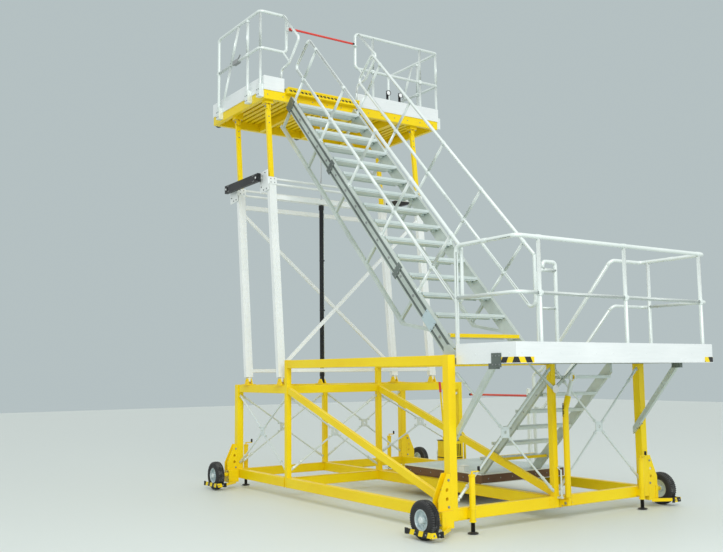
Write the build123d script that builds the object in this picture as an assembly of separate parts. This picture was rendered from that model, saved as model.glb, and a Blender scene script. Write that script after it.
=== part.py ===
from build123d import *
import math
import os

os.makedirs("parts", exist_ok=True)

# All sizes are millimetres. X runs across the stairs, Y from the entry side to the aircraft side, Z up.

# Base frame: three rows of three posts
bay_x = 1390.0
base_x = 2800.0
row_mid_y = 3160.0
base_y = 4530.0
corner_post = 90.0
inner_post = 66.0
base_low_z = 130.0
base_beam_high = 115.0
base_beam_wide = 80.0
mid_beam_top_z = 1385.0
high_beam_top_z = 1700.0
beam_high = 100.0
beam_wide = 60.0
brace_wide = 50.0
brace_deep = 78.0
brace_lift = 2.0
brace_drop = 20.0

# Crossed tie rods with a square plate where they meet
tie_r = 11.0
tie_buckle_r = 15.0
tie_plate = 110.0
tie_plate_thick = 10.0
tie_hole_r = 17.0
tie_front_low_z = 300.0
tie_front_high_z = 1560.0
tie_low_z = 330.0
tie_high_z = 1240.0
tie_deck_low_z = 480.0
tie_front_ahead = 16.0

# Wheels, their brackets and the striped bars round them
wheel_r = 182.0
tyre_wide = 108.0
tyre_round = 30.0
rim_r = 98.0
rim_wall = 9.0
rim_inset = 17.0
rim_disc = 14.0
hub_r = 36.0
hub_half = 36.0
axle_r = 16.0
axle_collar_r = 26.0
axle_cap = 15.0
wheel_out = 360.0
wheel_lag = 45.0
wheel_lead = 35.0
bracket_out = 150.0
bracket_top_out = 40.0
bracket_top_z = 580.0
bracket_knee_z = 340.0
bracket_block_z = 240.0
bracket_low_z = 80.0
bracket_plate = 10.0
bracket_hole_r = 17.0
bracket_hole_out = 42.0
bracket_hole_z = 345.0
bracket_hole_step = 85.0
bar_low_z = 45.0
bar_high = 50.0
bar_thick = 8.0
bar_side_gap = 22.0
bar_ahead = 200.0
bar_behind = 195.0
bar_in = 300.0
bar_arm_low_z = 60.0
strap_wide = 40.0

# Screw jacks beside the corner posts
jack_r = 30.0
jack_screw_r = 20.0
jack_fit = 0.3
jack_wall = 6.0
jack_in = 190.0
jack_off = 85.0
jack_right_shift = 60.0
jack_back_shift = 40.0
jack_low_z = 110.0
jack_top_z = 560.0
jack_screw_top_z = 300.0
jack_foot_z = 6.0
jack_foot_r = 52.0
jack_foot_thick = 8.0
jack_clamp_low_z = 150.0
jack_clamp_high = 75.0
crank_stem_r = 9.0
crank_stem_high = 30.0
crank_r = 7.0
crank_long = 95.0

# Landing over the front row
landing_left_x = 60.0
landing_right_x = 2915.0
landing_front_y = -870.0
landing_back_y = 60.0
landing_top_z = 1670.0
landing_frame_high = 60.0
landing_skin = 30.0
landing_rib = 50.0
toe_board_high = 130.0
toe_board_thick = 12.0
toe_board_gap = 60.0
strut_wide = 40.0
strut_low_z = 820.0
strut_foot_high = 80.0
strut_foot_y = 40.0
strut_reach = 620.0
strut_head = 75.0
thin_strut_run = 330.0
thin_strut_low_z = 1330.0
thin_strut_high = 42.0
thin_strut_thick = 18.0
thin_strut_lap = 25.0

# Guard rails of the landing
rail_r = 21.0
rail_post_r = 20.0
rail_mid_r = 18.0
rail_bend = 85.0
landing_rail_high = 1110.0
landing_mid_high = 590.0
landing_rail_left_x = 138.0
landing_rail_in_y = 40.0
landing_rail_back_y = 20.0
landing_post_xs = (420.0, 1620.0, 2840.0)
side_post_seat = 3.0
hoop_gap = 45.0
hoop_in = 90.0
hoop_high = 940.0
hoop_arch_high = 1030.0
hoop_arch_in = 190.0
hoop_mid_high = 530.0
hoop_mid_r = 14.0

# Low entry deck, lower stair and its hand rail
low_deck_top_z = 360.0
low_deck_thick = 115.0
low_deck_front_y = 1190.0
low_deck_back_y = 2650.0
low_deck_left_x = 1440.0
low_stair_wide = 920.0
low_stair_rises = 7
low_stair_going = 202.0
low_stair_start = 60.0
low_stair_thick = 35.0
low_stair_deep = 148.0
low_stair_foot = 40.0
low_stair_head = 80.0
low_tread_deep = 230.0
low_tread_thick = 32.0
hand_rail_out = 70.0
hand_rail_foot_y = 1290.0
hand_rail_bend_y = 1150.0
hand_rail_top_z = 1545.0
hand_rail_end_z = 1500.0
hand_rail_mid_z = 1080.0
entry_bar_y = 1720.0
entry_bar_z = 1215.0
entry_bar_long = 1230.0
entry_bar_out = 55.0
entry_post = 40.0
entry_post_over = 90.0
drop_r = 15.0
drop_hub_r = 26.0
drop_gap = 0.5

# Pump unit on two cross bars behind the low deck
pump_bar_y = 2700.0
pump_bar_step = 280.0
pump_bar_wide = 40.0
pump_shelf_x = 2200.0
pump_shelf_wide = 330.0
pump_shelf_over = 85.0
pump_in = 50.0
pump_top_z = 600.0
pump_hoop_in = 15.0
pump_hoop_top_z = 720.0
pump_hoop_r = 16.0

# Tower: four hollow masts that lean on pins at their feet, inner legs slide in them
mast_left_x = 0.0
mast_right_x = 2450.0
mast_ahead = 170.0
mast_row_step = 910.0
mast_pin_up = 65.0
mast_lean = math.radians(5.9)
mast_wide = 105.0
mast_deep = 60.0
mast_wall = 4.5
mast_start = 50.0
mast_end = 2660.0
mast_cap = 12.0
mast_pin_r = 11.0
pin_gap = 0.5
collar_start = 2600.0
collar_end = 2700.0
collar_thick = 8.0
tongue_half = 16.0
tongue_deep = 48.0
tongue_low = 22.0
clevis_gap = 3.0
clevis_cheek = 14.0
clevis_base = 12.0
clevis_long = 150.0
clevis_wide = 140.0
clevis_foot = 124.0
clevis_head = 48.0
leg_gap = 5.0
leg_wide = 65.0
leg_start = 1250.0
leg_pin = 3705.0
leg_eye_long = 45.0
leg_eye_over = 24.0
leg_eye_half = 14.0
row_bar_half = 18.0
row_low_t = 125.0
row_low_deep = 44.0
row_high_t = 2435.0
row_high_deep = 60.0
row_thin_t = 2612.0
row_thin_step = 73.0
row_thin_deep = 22.0
row_diagonal_low_t = 175.0
row_diagonal_high_t = 2336.0
row_diagonal_deep = 44.0
row_diagonal_half = 15.0

# Link beams beside the mast tops
link_t = 2725.0
link_n = 150.0
link_wide = 50.0
link_deep = 110.0
link_over = 42.0
link_stand = 29.5
link_plate = 12.0
link_plate_low = 205.0
link_plate_high = 75.0
link_plate_in = 30.0
link_plate_out = 45.0
link_pin_r = 14.0
link_pin_over = 8.0

# Lifting cylinder between the rows
cyl_x = 960.0
cyl_ahead = 740.0
cyl_pin_up = 45.0
cyl_long = 2470.0
cyl_r = 29.0
cyl_start = 60.0
cyl_bore_start = 90.0
cyl_head_r = 36.0
cyl_head_long = 70.0
cyl_eye_half = 18.0
cyl_eye_deep = 52.0
cyl_pin_r = 13.0
cyl_cheek_gap = 4.0
ram_r = 13.0
ram_gap = 1.0
ram_inside = 1600.0
ram_eye_up = 25.0
ram_eye_half = 16.0
ram_eye_deep = 48.0
ram_pin_gap = 3.0

# Top platform, carried by the pins of the inner legs
platform_left_x = -110.0
platform_right_x = 2860.0
platform_pin_in = 110.8
platform_deep = 1600.0
platform_clevis_drop = 74.6
platform_frame_high = 140.0
platform_deck_thick = 40.0
platform_beam = 60.0
platform_bay_count = 4
sill_reach = 85.0
sill_left_x = 210.0
sill_right_x = 1370.0
sill_high = 80.0
head_plate_wide = 120.0
head_plate_long = 100.0
head_cheek_long = 60.0
head_cheek = 14.0
platform_toe_high = 130.0
platform_toe_drop = 20.0
bumper_long = 130.0
bumper_r = 55.0
bumper_in = 130.0
bumper_up = 70.0

# Guard rails of the platform
platform_rail_high = 1040.0
platform_mid_high = 525.0
platform_rail_in_y = 40.0
platform_rail_far = 280.0
platform_bend = 60.0
stair_open_left = 250.0
stair_open_right = 1390.0
side_bracket_wide = 85.0
side_bracket_low = 120.0
side_bracket_high = 10.0
side_bracket_deep = 60.0
side_post_gap = 1.0
left_post_back = 360.0
right_post_back = 500.0
right_near_post_xs = (1700.0, 2570.0)
slant_start = 630.0
slant_end = 1100.0
slant_end_high = 90.0
return_in = 55.0
return_r = 18.0
return_ys = (450.0, 180.0, -25.0, -60.0)
return_downs = (450.0, 720.0, 750.0, 870.0)
drop_bar_down = 180.0
drop_bar_ahead = 45.0
drop_bar_start = 50.0
drop_bar_end = 50.0

# Main stair: a line of treads at one slope between the landing and the sill
tread_count = 15
first_nose_ahead = 160.0
first_nose_up = 250.0
last_nose_short = 286.4
last_nose_down = 299.5
stair_left_x = 165.0
stair_right_x = 1210.0
stringer_thick = 40.0
stringer_deep = 150.0
stringer_drop = 97.0
stringer_under = 180.0
stringer_over = 179.0
foot_back = 120.0
foot_pin_r = 15.0
foot_lug_gap = 6.0
foot_lug_thick = 14.0
foot_lug_half = 42.0
foot_lug_root = 80.0
chord_drop = 450.0
chord_size = 40.0
chord_over = 55.0
chord_root = 410.0
chord_root_wide = 60.0
truss_post = 32.0
stair_post_first = 670.0
stair_post_over = 80.0
stair_post_count = 5
stair_post_r = 17.0
stair_mid_rail = 310.0
stair_top_rail = 745.0
stair_rail_r = 19.0
stair_foot_r = 18.0
stair_rail_end_y = -10.0
stair_loop_top = 354.0
stair_loop_mid = 379.0
stair_bend = 60.0
tread_deep = 225.0
tread_thick = 30.0
tread_side_gap = 6.0
tread_lug = 48.0
tread_lug_thick = 20.0
tread_pin_back = 110.0
tread_pin_down = 28.0
tread_pin_r = 9.0
tread_pin_in = 4.0

# Tow bar folded up in front of the middle post
tow_x = 1480.0
tow_y = -105.0
tow_pin_z = 180.0
tow_pin_r = 10.0
tow_r = 32.0
tow_bar_start = 56.0
tow_bend_z = 1140.0
tow_tube_z = 1270.0
tow_tube_shift = 45.0
tow_shank_r = 20.0
tow_eye_z = 1470.0
tow_eye_shift = 120.0
tow_ring_r = 46.0
tow_eye_r = 24.0
tow_ring_thick = 24.0
tow_foot = 42.0
tow_cheek = 12.0
tow_cheek_gap = 4.0
tow_lug_high = 26.0


def box(x0, x1, y0, y1, z0, z1):
    # the corners may come in either order
    size = (abs(x1 - x0), abs(y1 - y0), abs(z1 - z0))
    return Pos((x0 + x1) / 2.0, (y0 + y1) / 2.0, (z0 + z1) / 2.0) * Box(*size)


def slab_x(points, x0, x1):
    # points are (y, z) pairs; the slab runs from x0 to x1
    face = make_face(Polyline(*[(0, y, z) for y, z in points], close=True))
    return extrude(Pos(x0, 0, 0) * face, amount=x1 - x0, dir=(1, 0, 0))


def slab_y(points, y0, y1):
    # points are (x, z) pairs; the slab runs from y0 to y1
    face = make_face(Polyline(*[(x, 0, z) for x, z in points], close=True))
    return extrude(Pos(0, y0, 0) * face, amount=y1 - y0, dir=(0, 1, 0))


def slab_z(points, z0, z1):
    # points are (x, y) pairs; the slab runs from z0 to z1
    face = make_face(Polyline(*[(x, y, 0) for x, y in points], close=True))
    return extrude(Pos(0, 0, z0) * face, amount=z1 - z0, dir=(0, 0, 1))


def rod(p, q, r):
    a = Vector(*p)
    d = Vector(*q) - a
    return Plane(origin=a, z_dir=d) * Cylinder(r, d.length, align=(Align.CENTER, Align.CENTER, Align.MIN))


def rod_x(x0, x1, y, z, r):
    return rod((x0, y, z), (x1, y, z), r)


def run(points, r, bend):
    # a bent rail as straight lengths and elbows that meet face to face
    shortest = min((Vector(*b) - Vector(*a)).length for a, b in zip(points, points[1:]))
    path = FilletPolyline(*points, radius=min(bend, 0.45 * shortest))
    out = []
    for piece in path.edges():
        if piece.geom_type == GeomType.LINE:
            out.append(rod(tuple(piece @ 0), tuple(piece @ 1), r))
        else:
            section = Plane(origin=piece @ 0, z_dir=piece % 0) * Circle(r)
            out.append(sweep(section, path=piece))
    return out


def meet(a, b):
    # whether the boxes round two solids share any room
    p = a.bounding_box()
    q = b.bounding_box()
    return (p.min.X < q.max.X and q.min.X < p.max.X and p.min.Y < q.max.Y and q.min.Y < p.max.Y
            and p.min.Z < q.max.Z and q.min.Z < p.max.Z)


def weld(*groups):
    # solids of later groups end where they meet those of earlier groups
    done = []
    for group in groups:
        fresh = []
        for solid in group:
            for other in done:
                if meet(solid, other):
                    solid = solid - other
            fresh.extend(solid.solids())
        done.extend(fresh)
    return done


def save(name, parts):
    found = []
    for p in parts:
        found.extend(Pos(shift_x, shift_y, 0) * s for s in p.solids())
    shape = found[0] if len(found) == 1 else Compound(children=found)
    shape.label = name
    export_step(shape, "parts/" + name + ".step")


# Places worked out from the sizes above
half_c = corner_post / 2.0
half_i = inner_post / 2.0
half_b = base_beam_wide / 2.0
half_w = beam_wide / 2.0
half_m = mast_wide / 2.0
half_d = mast_deep / 2.0
base_top_z = base_low_z + base_beam_high
landing_low_z = landing_top_z - landing_frame_high
mid_beam_low_z = mid_beam_top_z - beam_high
high_beam_low_z = high_beam_top_z - beam_high
mast_front_y = row_mid_y + mast_ahead
mast_back_y = mast_front_y + mast_row_step
mast_pin_z = mid_beam_top_z + mast_pin_up
lean_c = math.cos(mast_lean)
lean_s = math.sin(mast_lean)
head_pin_y = mast_front_y + leg_pin * lean_s
head_pin_z = mast_pin_z + leg_pin * lean_c
platform_low_z = head_pin_z + platform_clevis_drop
platform_mid_z = platform_low_z + platform_frame_high
platform_top_z = platform_mid_z + platform_deck_thick
platform_near_y = head_pin_y - platform_pin_in
platform_far_y = platform_near_y + platform_deep
nose_y = landing_back_y + first_nose_ahead
nose_z = landing_top_z + first_nose_up
stair_run = platform_near_y - sill_reach - last_nose_short - nose_y
stair_rise = platform_top_z - last_nose_down - nose_z
stair_slope = math.atan2(stair_rise, stair_run)
stair_long = math.hypot(stair_run, stair_rise)
tread_pitch = stair_long / (tread_count - 1)
stair_c = math.cos(stair_slope)
stair_s = math.sin(stair_slope)

# The whole object is moved so that its footprint is centred on the origin
shift_x = -base_x / 2.0
shift_y = -(landing_front_y - toe_board_thick + platform_far_y + bumper_long) / 2.0


def on_stair(t, n):
    # t along the slope from the lowest nosing, n square to it and up
    return (nose_y + t * stair_c - n * stair_s, nose_z + t * stair_s + n * stair_c)


def on_mast(y_pin, t, n):
    # t along the mast from its foot pin, n square to it towards the aircraft
    return (y_pin + t * lean_s + n * lean_c, mast_pin_z + t * lean_c - n * lean_s)


def mast_prism(y_pin, x0, x1, t0, t1, n0, n1):
    pts = [on_mast(y_pin, t0, n0), on_mast(y_pin, t1, n0), on_mast(y_pin, t1, n1), on_mast(y_pin, t0, n1)]
    return slab_x(pts, min(x0, x1), max(x0, x1))


# Base frame
post_xs = (0.0, bay_x, base_x)
post_ys = (0.0, row_mid_y, base_y)


def half_at(i, j):
    return half_c if i != 1 and j != 1 else half_i


def post_top(i, j):
    if j == 0:
        return high_beam_top_z if i == 0 else landing_low_z
    return high_beam_top_z if j == 1 and i < 2 else mid_beam_top_z


def base_posts():
    out = []
    for i, x in enumerate(post_xs):
        for j, y in enumerate(post_ys):
            h = half_at(i, j)
            out.append(box(x - h, x + h, y - h, y + h, base_low_z, post_top(i, j)))
    return out


def base_beams():
    # beams run from post face to post face
    out = []
    for i, x in enumerate(post_xs):
        for j in (0, 1):
            y0 = post_ys[j] + half_at(i, j)
            y1 = post_ys[j + 1] - half_at(i, j + 1)
            out.append(box(x - half_b, x + half_b, y0, y1, base_low_z, base_top_z))
            if j == 1:
                out.append(box(x - half_w, x + half_w, y0, y1, mid_beam_low_z, mid_beam_top_z))
            elif i < 2:
                y0 = landing_back_y if i == 1 else y0
                out.append(box(x - half_w, x + half_w, y0, y1, high_beam_low_z, high_beam_top_z))
    for j, y in enumerate(post_ys):
        for i in (0, 1):
            h0 = half_at(i, j)
            h1 = half_at(i + 1, j)
            x0 = post_xs[i]
            x1 = post_xs[i + 1]
            out.append(box(x0 + max(h0, half_b), x1 - max(h1, half_b), y - half_i, y + half_i,
                           base_low_z, base_top_z))
            if j > 0:
                out.append(box(x0 + h0, x1 - h1, y - half_w, y + half_w, mid_beam_low_z, mid_beam_top_z))
    # the beams that carry the right pair of masts and the cylinder
    for x, wide in ((mast_right_x, beam_wide), (cyl_x, 2.0 * beam_wide)):
        out.append(box(x - wide / 2.0, x + wide / 2.0, row_mid_y + half_w, base_y - half_w,
                       mid_beam_low_z, mid_beam_top_z))
    return out


def base_diagonals():
    # ends cut flush with the post faces
    out = []
    for i in (0, 1):
        y0 = half_at(i, 0)
        y1 = row_mid_y - half_at(i, 1)
        z0 = base_top_z + brace_lift
        z1 = mid_beam_top_z - brace_drop
        deep = brace_deep / math.cos(math.atan2(z1 - z0, y1 - y0))
        pts = [(y0, z0), (y1, z1 - deep), (y1, z1), (y0, z0 + deep)]
        out.append(slab_x(pts, post_xs[i] - brace_wide / 2.0, post_xs[i] + brace_wide / 2.0))
    return out


def tie_cross(start, along, width, z0, z1):
    # start is on the face of the first post; along is the unit vector to the second post
    a = Vector(*start)
    d = Vector(*along)
    middle = a + d * (width / 2.0) + Vector(0, 0, (z0 + z1) / 2.0)
    flat = Plane(origin=middle, x_dir=d, z_dir=d.cross(Vector(0, 0, 1)))
    reach = width + z1 - z0
    keeper = flat * Box(width, reach, reach)
    hollow = flat * Box(tie_plate, tie_plate, reach)
    out = [flat * Box(tie_plate, tie_plate, tie_plate_thick) - flat * Cylinder(tie_hole_r, reach)]
    for sx in (1, -1):
        for z, sz in ((z0, 1), (z1, -1)):
            p = a + d * (0.0 if sx > 0 else width) + Vector(0, 0, z)
            v = middle - d * (tie_plate / 2.0 * sx) - Vector(0, 0, tie_plate / 2.0 * sz) - p
            bar = rod(tuple(p - v * 0.03), tuple(p + v * 1.05), tie_r)
            buckle = rod(tuple(p + v * 0.08), tuple(p + v * 0.22), tie_buckle_r)
            out.append(((bar + buckle) & keeper) - hollow)
    return out


def base_tie_rods():
    out = []
    left_low = (tie_front_low_z, tie_low_z, tie_low_z)
    right_low = (tie_front_low_z, tie_deck_low_z, tie_low_z)
    for j, y in enumerate(post_ys):
        high = tie_front_high_z if j == 0 else tie_high_z
        for i, low in ((0, left_low[j]), (1, right_low[j])):
            x0 = post_xs[i] + half_at(i, j)
            wide = post_xs[i + 1] - half_at(i + 1, j) - x0
            place = y - tie_front_ahead if j == 0 else y
            out.extend(tie_cross((x0, place, 0), (1, 0, 0), wide, low, high))
    y0 = row_mid_y + half_i
    out.extend(tie_cross((0, y0, 0), (0, 1, 0), base_y - half_c - y0, tie_low_z, tie_high_z))
    return out


save("base_posts", base_posts())
save("base_beams", base_beams())
save("base_diagonals", base_diagonals())
save("base_tie_rods", base_tie_rods())

# Wheels: name, post, side and how far the axle stands from the middle of its post
wheel_places = [
    ("front_left", 0.0, 0.0, -1, -wheel_lag),
    ("back_left", 0.0, base_y, -1, -wheel_lag),
    ("front_right", base_x, 0.0, 1, wheel_lead),
    ("back_right", base_x, base_y, 1, wheel_lead),
]


def wheel_bracket(px, py, s, ahead):
    wy = py + ahead
    face = px + s * half_c
    out_x = face + s * bracket_out
    y0 = min(py - half_c, wy - half_c)
    y1 = max(py + half_c, wy + half_c)
    out = [box(face, out_x, y0, y1, bracket_low_z, bracket_block_z)]
    pts = [(face, bracket_top_z), (face + s * bracket_top_out, bracket_top_z), (out_x, bracket_knee_z),
           (out_x, bracket_block_z), (face, bracket_block_z)]
    for y in (py - half_c, py + half_c - bracket_plate):
        plate = slab_y(pts, y, y + bracket_plate)
        for k in (0, 1):
            hx = face + s * bracket_hole_out
            hz = bracket_hole_z + k * bracket_hole_step
            plate = plate - rod((hx, y - 1.0, hz), (hx, y + bracket_plate + 1.0, hz), bracket_hole_r)
        out.append(plate)
    end = px + s * (wheel_out + hub_half + pin_gap)
    axle = rod_x(out_x, end, wy, wheel_r, axle_r)
    axle = axle + rod_x(out_x, px + s * (wheel_out - hub_half - pin_gap), wy, wheel_r, axle_collar_r)
    axle = axle + rod_x(end, end + s * axle_cap, wy, wheel_r, axle_collar_r)
    out.append(axle)
    # the striped bar passes the wheel's outer side and its front
    bar_x = px + s * (wheel_out + tyre_wide / 2.0 + bar_side_gap)
    in_x = px + s * bar_in
    yf = wy - bar_ahead
    top = bar_low_z + bar_high
    out.append(box(bar_x, bar_x + s * bar_thick, yf, wy + bar_behind, bar_low_z, top))
    out.append(box(in_x, bar_x, yf, yf + bar_thick, bar_low_z, top))
    root = face + s * bracket_top_out
    arm = [(in_x, yf), (in_x, yf + bar_thick), (root + s * strap_wide, y0), (root, y0)]
    out.append(slab_z(arm, bar_arm_low_z, top))
    out.append(box(out_x - s * strap_wide, out_x, y0 - bar_thick, y0, bar_arm_low_z, bracket_block_z))
    return out


def tyre():
    body = fillet(Cylinder(wheel_r, tyre_wide).edges().filter_by(GeomType.CIRCLE), tyre_round)
    return body - Cylinder(rim_r, 2.0 * tyre_wide)


def rim():
    wide = tyre_wide - 2.0 * rim_inset
    body = Cylinder(rim_r, wide) - Cylinder(rim_r - rim_wall, tyre_wide)
    body = body + Cylinder(rim_r - rim_wall / 2.0, rim_disc) + Cylinder(hub_r, 2.0 * hub_half)
    return body - Cylinder(axle_r + pin_gap, 2.0 * tyre_wide)


brackets = []
for name, px, py, s, ahead in wheel_places:
    brackets.extend(wheel_bracket(px, py, s, ahead))
    place = Pos(px + s * wheel_out, py + ahead, wheel_r) * Rot(0, 90, 0)
    save("wheel_" + name + "_tyre", [place * tyre()])
    save("wheel_" + name + "_rim", [place * rim()])
save("wheel_brackets", brackets)

# Screw jacks: name, centre and the side of the beam that carries them
jack_places = [
    ("front_left", jack_in, -jack_off, 1),
    ("front_right", base_x - jack_in + jack_right_shift, -jack_off, 1),
    ("back_left", jack_in - jack_back_shift, base_y + jack_off, -1),
    ("back_right", base_x - jack_in, base_y + jack_off, -1),
]


def jack_housing(x, y, s):
    shell = rod((x, y, jack_low_z), (x, y, jack_top_z), jack_r)
    bore = rod((x, y, jack_low_z - 1.0), (x, y, jack_top_z - jack_wall), jack_screw_r + jack_fit)
    face = y + s * (jack_off - half_i)
    clamp = box(x - jack_r, x + jack_r, face, y, jack_clamp_low_z, jack_clamp_low_z + jack_clamp_high)
    crank_z = jack_top_z + crank_stem_high - crank_r
    crank = rod((x, y, jack_top_z), (x, y, jack_top_z + crank_stem_high), crank_stem_r)
    crank = crank + rod((x, y, crank_z), (x + crank_long, y, crank_z), crank_r)
    return [shell - bore, clamp - rod((x, y, jack_low_z), (x, y, jack_top_z), jack_r), crank]


housings = []
for name, x, y, s in jack_places:
    housings.extend(jack_housing(x, y, s))
    screw = rod((x, y, jack_foot_z), (x, y, jack_screw_top_z), jack_screw_r)
    screw = screw + rod((x, y, jack_foot_z), (x, y, jack_foot_z + jack_foot_thick), jack_foot_r)
    save("jack_screw_" + name, [screw])
save("jack_housings", housings)

# Landing: its skin, the frame under it, toe boards and struts
right_strut_x = base_x - half_c - strut_wide
thin_reach = thin_strut_run + half_i
skin_low = landing_top_z - landing_skin


def landing_deck():
    out = [box(landing_left_x, landing_right_x, landing_front_y, landing_back_y, skin_low, landing_top_z)]
    for y in (landing_front_y, landing_back_y - landing_rib):
        out.append(box(landing_left_x, landing_right_x, y, y + landing_rib, landing_low_z, skin_low))
    half = landing_rib / 2.0
    near = bay_x - thin_reach
    ribs = [landing_left_x, (landing_left_x + near) / 2.0 - half, near - half, bay_x - half,
            bay_x + thin_reach - half, right_strut_x, landing_right_x - landing_rib]
    for x in ribs:
        out.append(box(x, x + landing_rib, landing_front_y + landing_rib, landing_back_y - landing_rib,
                       landing_low_z, skin_low))
    return out


def landing_toe_boards():
    low = landing_low_z
    top = landing_top_z + toe_board_high
    front = landing_front_y - toe_board_thick
    return [
        box(landing_left_x - toe_board_thick, landing_left_x, front, -toe_board_gap, low, top),
        box(landing_left_x, landing_right_x, front, landing_front_y, low, top),
        box(landing_right_x, landing_right_x + toe_board_thick, front, landing_back_y, low, top),
    ]


def stair_foot_lugs():
    # plates behind the landing with the pins that the main stair turns on
    y, z = on_stair(-foot_back, -stringer_drop)
    h = foot_lug_half
    pts = [(landing_back_y, landing_low_z), (landing_back_y, landing_top_z + landing_frame_high), (y - h, z + h),
           (y + h, z + h), (y + h, z - h), (landing_back_y + foot_lug_root, landing_low_z)]
    out = []
    for x, s in ((stair_left_x, -1), (stair_right_x, 1)):
        x0 = x + s * foot_lug_gap
        x1 = x0 + s * foot_lug_thick
        out.append(slab_x(pts, min(x0, x1), max(x0, x1)) + rod_x(x - s * stringer_thick, x1, y, z, foot_pin_r))
    return out


def landing_struts():
    top = strut_low_z + strut_foot_high
    pts = [(strut_foot_y, strut_low_z), (strut_foot_y, top), (strut_head - strut_reach, landing_low_z),
           (-strut_reach, landing_low_z)]
    out = [slab_x(pts, half_c, half_c + strut_wide), slab_x(pts, right_strut_x, right_strut_x + strut_wide)]
    for s in (-1, 1):
        x0 = bay_x + s * (half_i - thin_strut_lap)
        x1 = bay_x + s * thin_reach
        pts = [(x0, thin_strut_low_z), (x0, thin_strut_low_z + thin_strut_high),
               (x1 - s * thin_strut_thick, landing_low_z), (x1, landing_low_z)]
        out.append(slab_y(pts, -half_i - thin_strut_thick, -half_i))
    return out + stair_foot_lugs()


boards = landing_toe_boards()
save("landing_deck", landing_deck())
save("landing_toe_boards", boards)
save("landing_struts", landing_struts())

# Guard rails of the landing, which run on down the lower stair
rail_top = landing_top_z + landing_rail_high
rail_mid = landing_top_z + landing_mid_high
rail_front_y = landing_front_y + landing_rail_in_y
rail_right_x = landing_right_x + toe_board_thick + rail_post_r - side_post_seat
low_stair_right_x = low_deck_left_x + low_stair_wide
hand_x = low_stair_right_x + hand_rail_out


def landing_guard():
    lx = landing_rail_left_x
    rx = rail_right_x
    fy = rail_front_y
    by = landing_rail_back_y
    foot = (hand_x, hand_rail_foot_y)
    top = run([(lx, by, landing_top_z), (lx, by, rail_top), (lx, fy, rail_top), (rx, fy, rail_top),
               (rx, by, rail_top), (hand_x, by, rail_top), (hand_x, hand_rail_bend_y, hand_rail_top_z),
               (*foot, hand_rail_end_z), (*foot, low_deck_top_z)], rail_r, rail_bend)
    posts = [rod((x, fy, landing_top_z), (x, fy, rail_top), rail_post_r) for x in landing_post_xs]
    side_y = by - rail_bend - rail_r
    posts.append(rod((rx, side_y, landing_low_z), (rx, side_y, rail_top), rail_post_r))
    middle = run([(lx, by, rail_mid), (lx, fy, rail_mid), (rx, fy, rail_mid), (rx, by, rail_mid),
                  (hand_x, by, rail_mid), (hand_x, hand_rail_bend_y, hand_rail_mid_z),
                  (*foot, hand_rail_mid_z)], rail_mid_r, rail_bend)
    return weld(boards, top, posts, middle)[len(boards):]


def landing_hoop():
    # a low hoop between the two stairs with an arch over its right part
    x0 = stair_right_x + hoop_gap
    x1 = low_deck_left_x + hoop_in
    y = landing_rail_back_y
    z = landing_top_z
    xa = x1 - hoop_arch_in
    arch = run([(x1, y, z), (x1, y, z + hoop_arch_high), (xa, y, z + hoop_arch_high), (xa, y, z + hoop_high)],
               rail_r, rail_bend)
    bar = run([(x0, y, z), (x0, y, z + hoop_high), (x1, y, z + hoop_high)], rail_r, rail_bend)
    middle = [rod((x0, y, z + hoop_mid_high), (x1, y, z + hoop_mid_high), hoop_mid_r)]
    return weld([arch[0]], bar, arch[1:], middle)


save("landing_guard_rails", landing_guard() + landing_hoop())

# Low entry deck, its post and the lower stair
low_rise = (landing_top_z - low_deck_top_z) / low_stair_rises


def entry_deck():
    x1 = base_x - entry_post / 2.0
    y1 = entry_bar_y + entry_post / 2.0
    return [
        box(low_deck_left_x, base_x, low_deck_front_y, low_deck_back_y, low_deck_top_z - low_deck_thick,
            low_deck_top_z),
        box(x1 - entry_post, x1, y1 - entry_post, y1, low_deck_top_z, entry_bar_z + entry_post_over),
    ]


def lower_stair():
    # the stringers are cut plumb behind the tie rods of the front row
    half = low_stair_deep / 2.0
    foot = low_deck_front_y + low_stair_foot
    head = landing_back_y - low_stair_head
    start = landing_back_y - low_stair_start
    fall = (landing_low_z - low_deck_top_z) / (foot - head)
    pts = [(foot - half, low_deck_top_z), (foot + half, low_deck_top_z), (head + half, landing_low_z),
           (start, landing_low_z), (start, landing_low_z - (start - head + half) * fall)]
    out = []
    for x in (low_deck_left_x, low_stair_right_x - low_stair_thick):
        out.append(slab_x(pts, x, x + low_stair_thick))
    for k in range(1, low_stair_rises):
        z = landing_top_z - k * low_rise
        y = start + (k - 1) * low_stair_going
        out.append(box(low_deck_left_x + low_stair_thick, low_stair_right_x - low_stair_thick,
                       y, y + low_tread_deep, z - low_tread_thick, z))
    return out


def pump_unit():
    y1 = pump_bar_y + pump_bar_step
    shelf_x1 = pump_shelf_x + pump_shelf_wide
    shelf_z = base_top_z + pump_shelf_over
    out = []
    for y in (pump_bar_y, y1):
        out.append(box(bay_x + half_b, base_x - half_b, y, y + pump_bar_wide, base_low_z, base_top_z))
    out.append(box(pump_shelf_x, shelf_x1, pump_bar_y + pump_bar_wide, y1, base_low_z, shelf_z))
    out.append(box(pump_shelf_x + pump_in, shelf_x1 - pump_in, pump_bar_y + pump_bar_wide, y1, shelf_z, pump_top_z))
    yh = pump_bar_y + pump_bar_wide / 2.0
    x0 = pump_shelf_x + pump_hoop_in
    x1 = shelf_x1 - pump_hoop_in
    out.extend(run([(x0, yh, base_top_z), (x0, yh, pump_hoop_top_z), (x1, yh, pump_hoop_top_z),
                    (x1, yh, base_top_z)], pump_hoop_r, rail_bend))
    return out


save("entry_deck", entry_deck())
save("lower_stair", lower_stair())
save("pump_unit", pump_unit())

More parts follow.
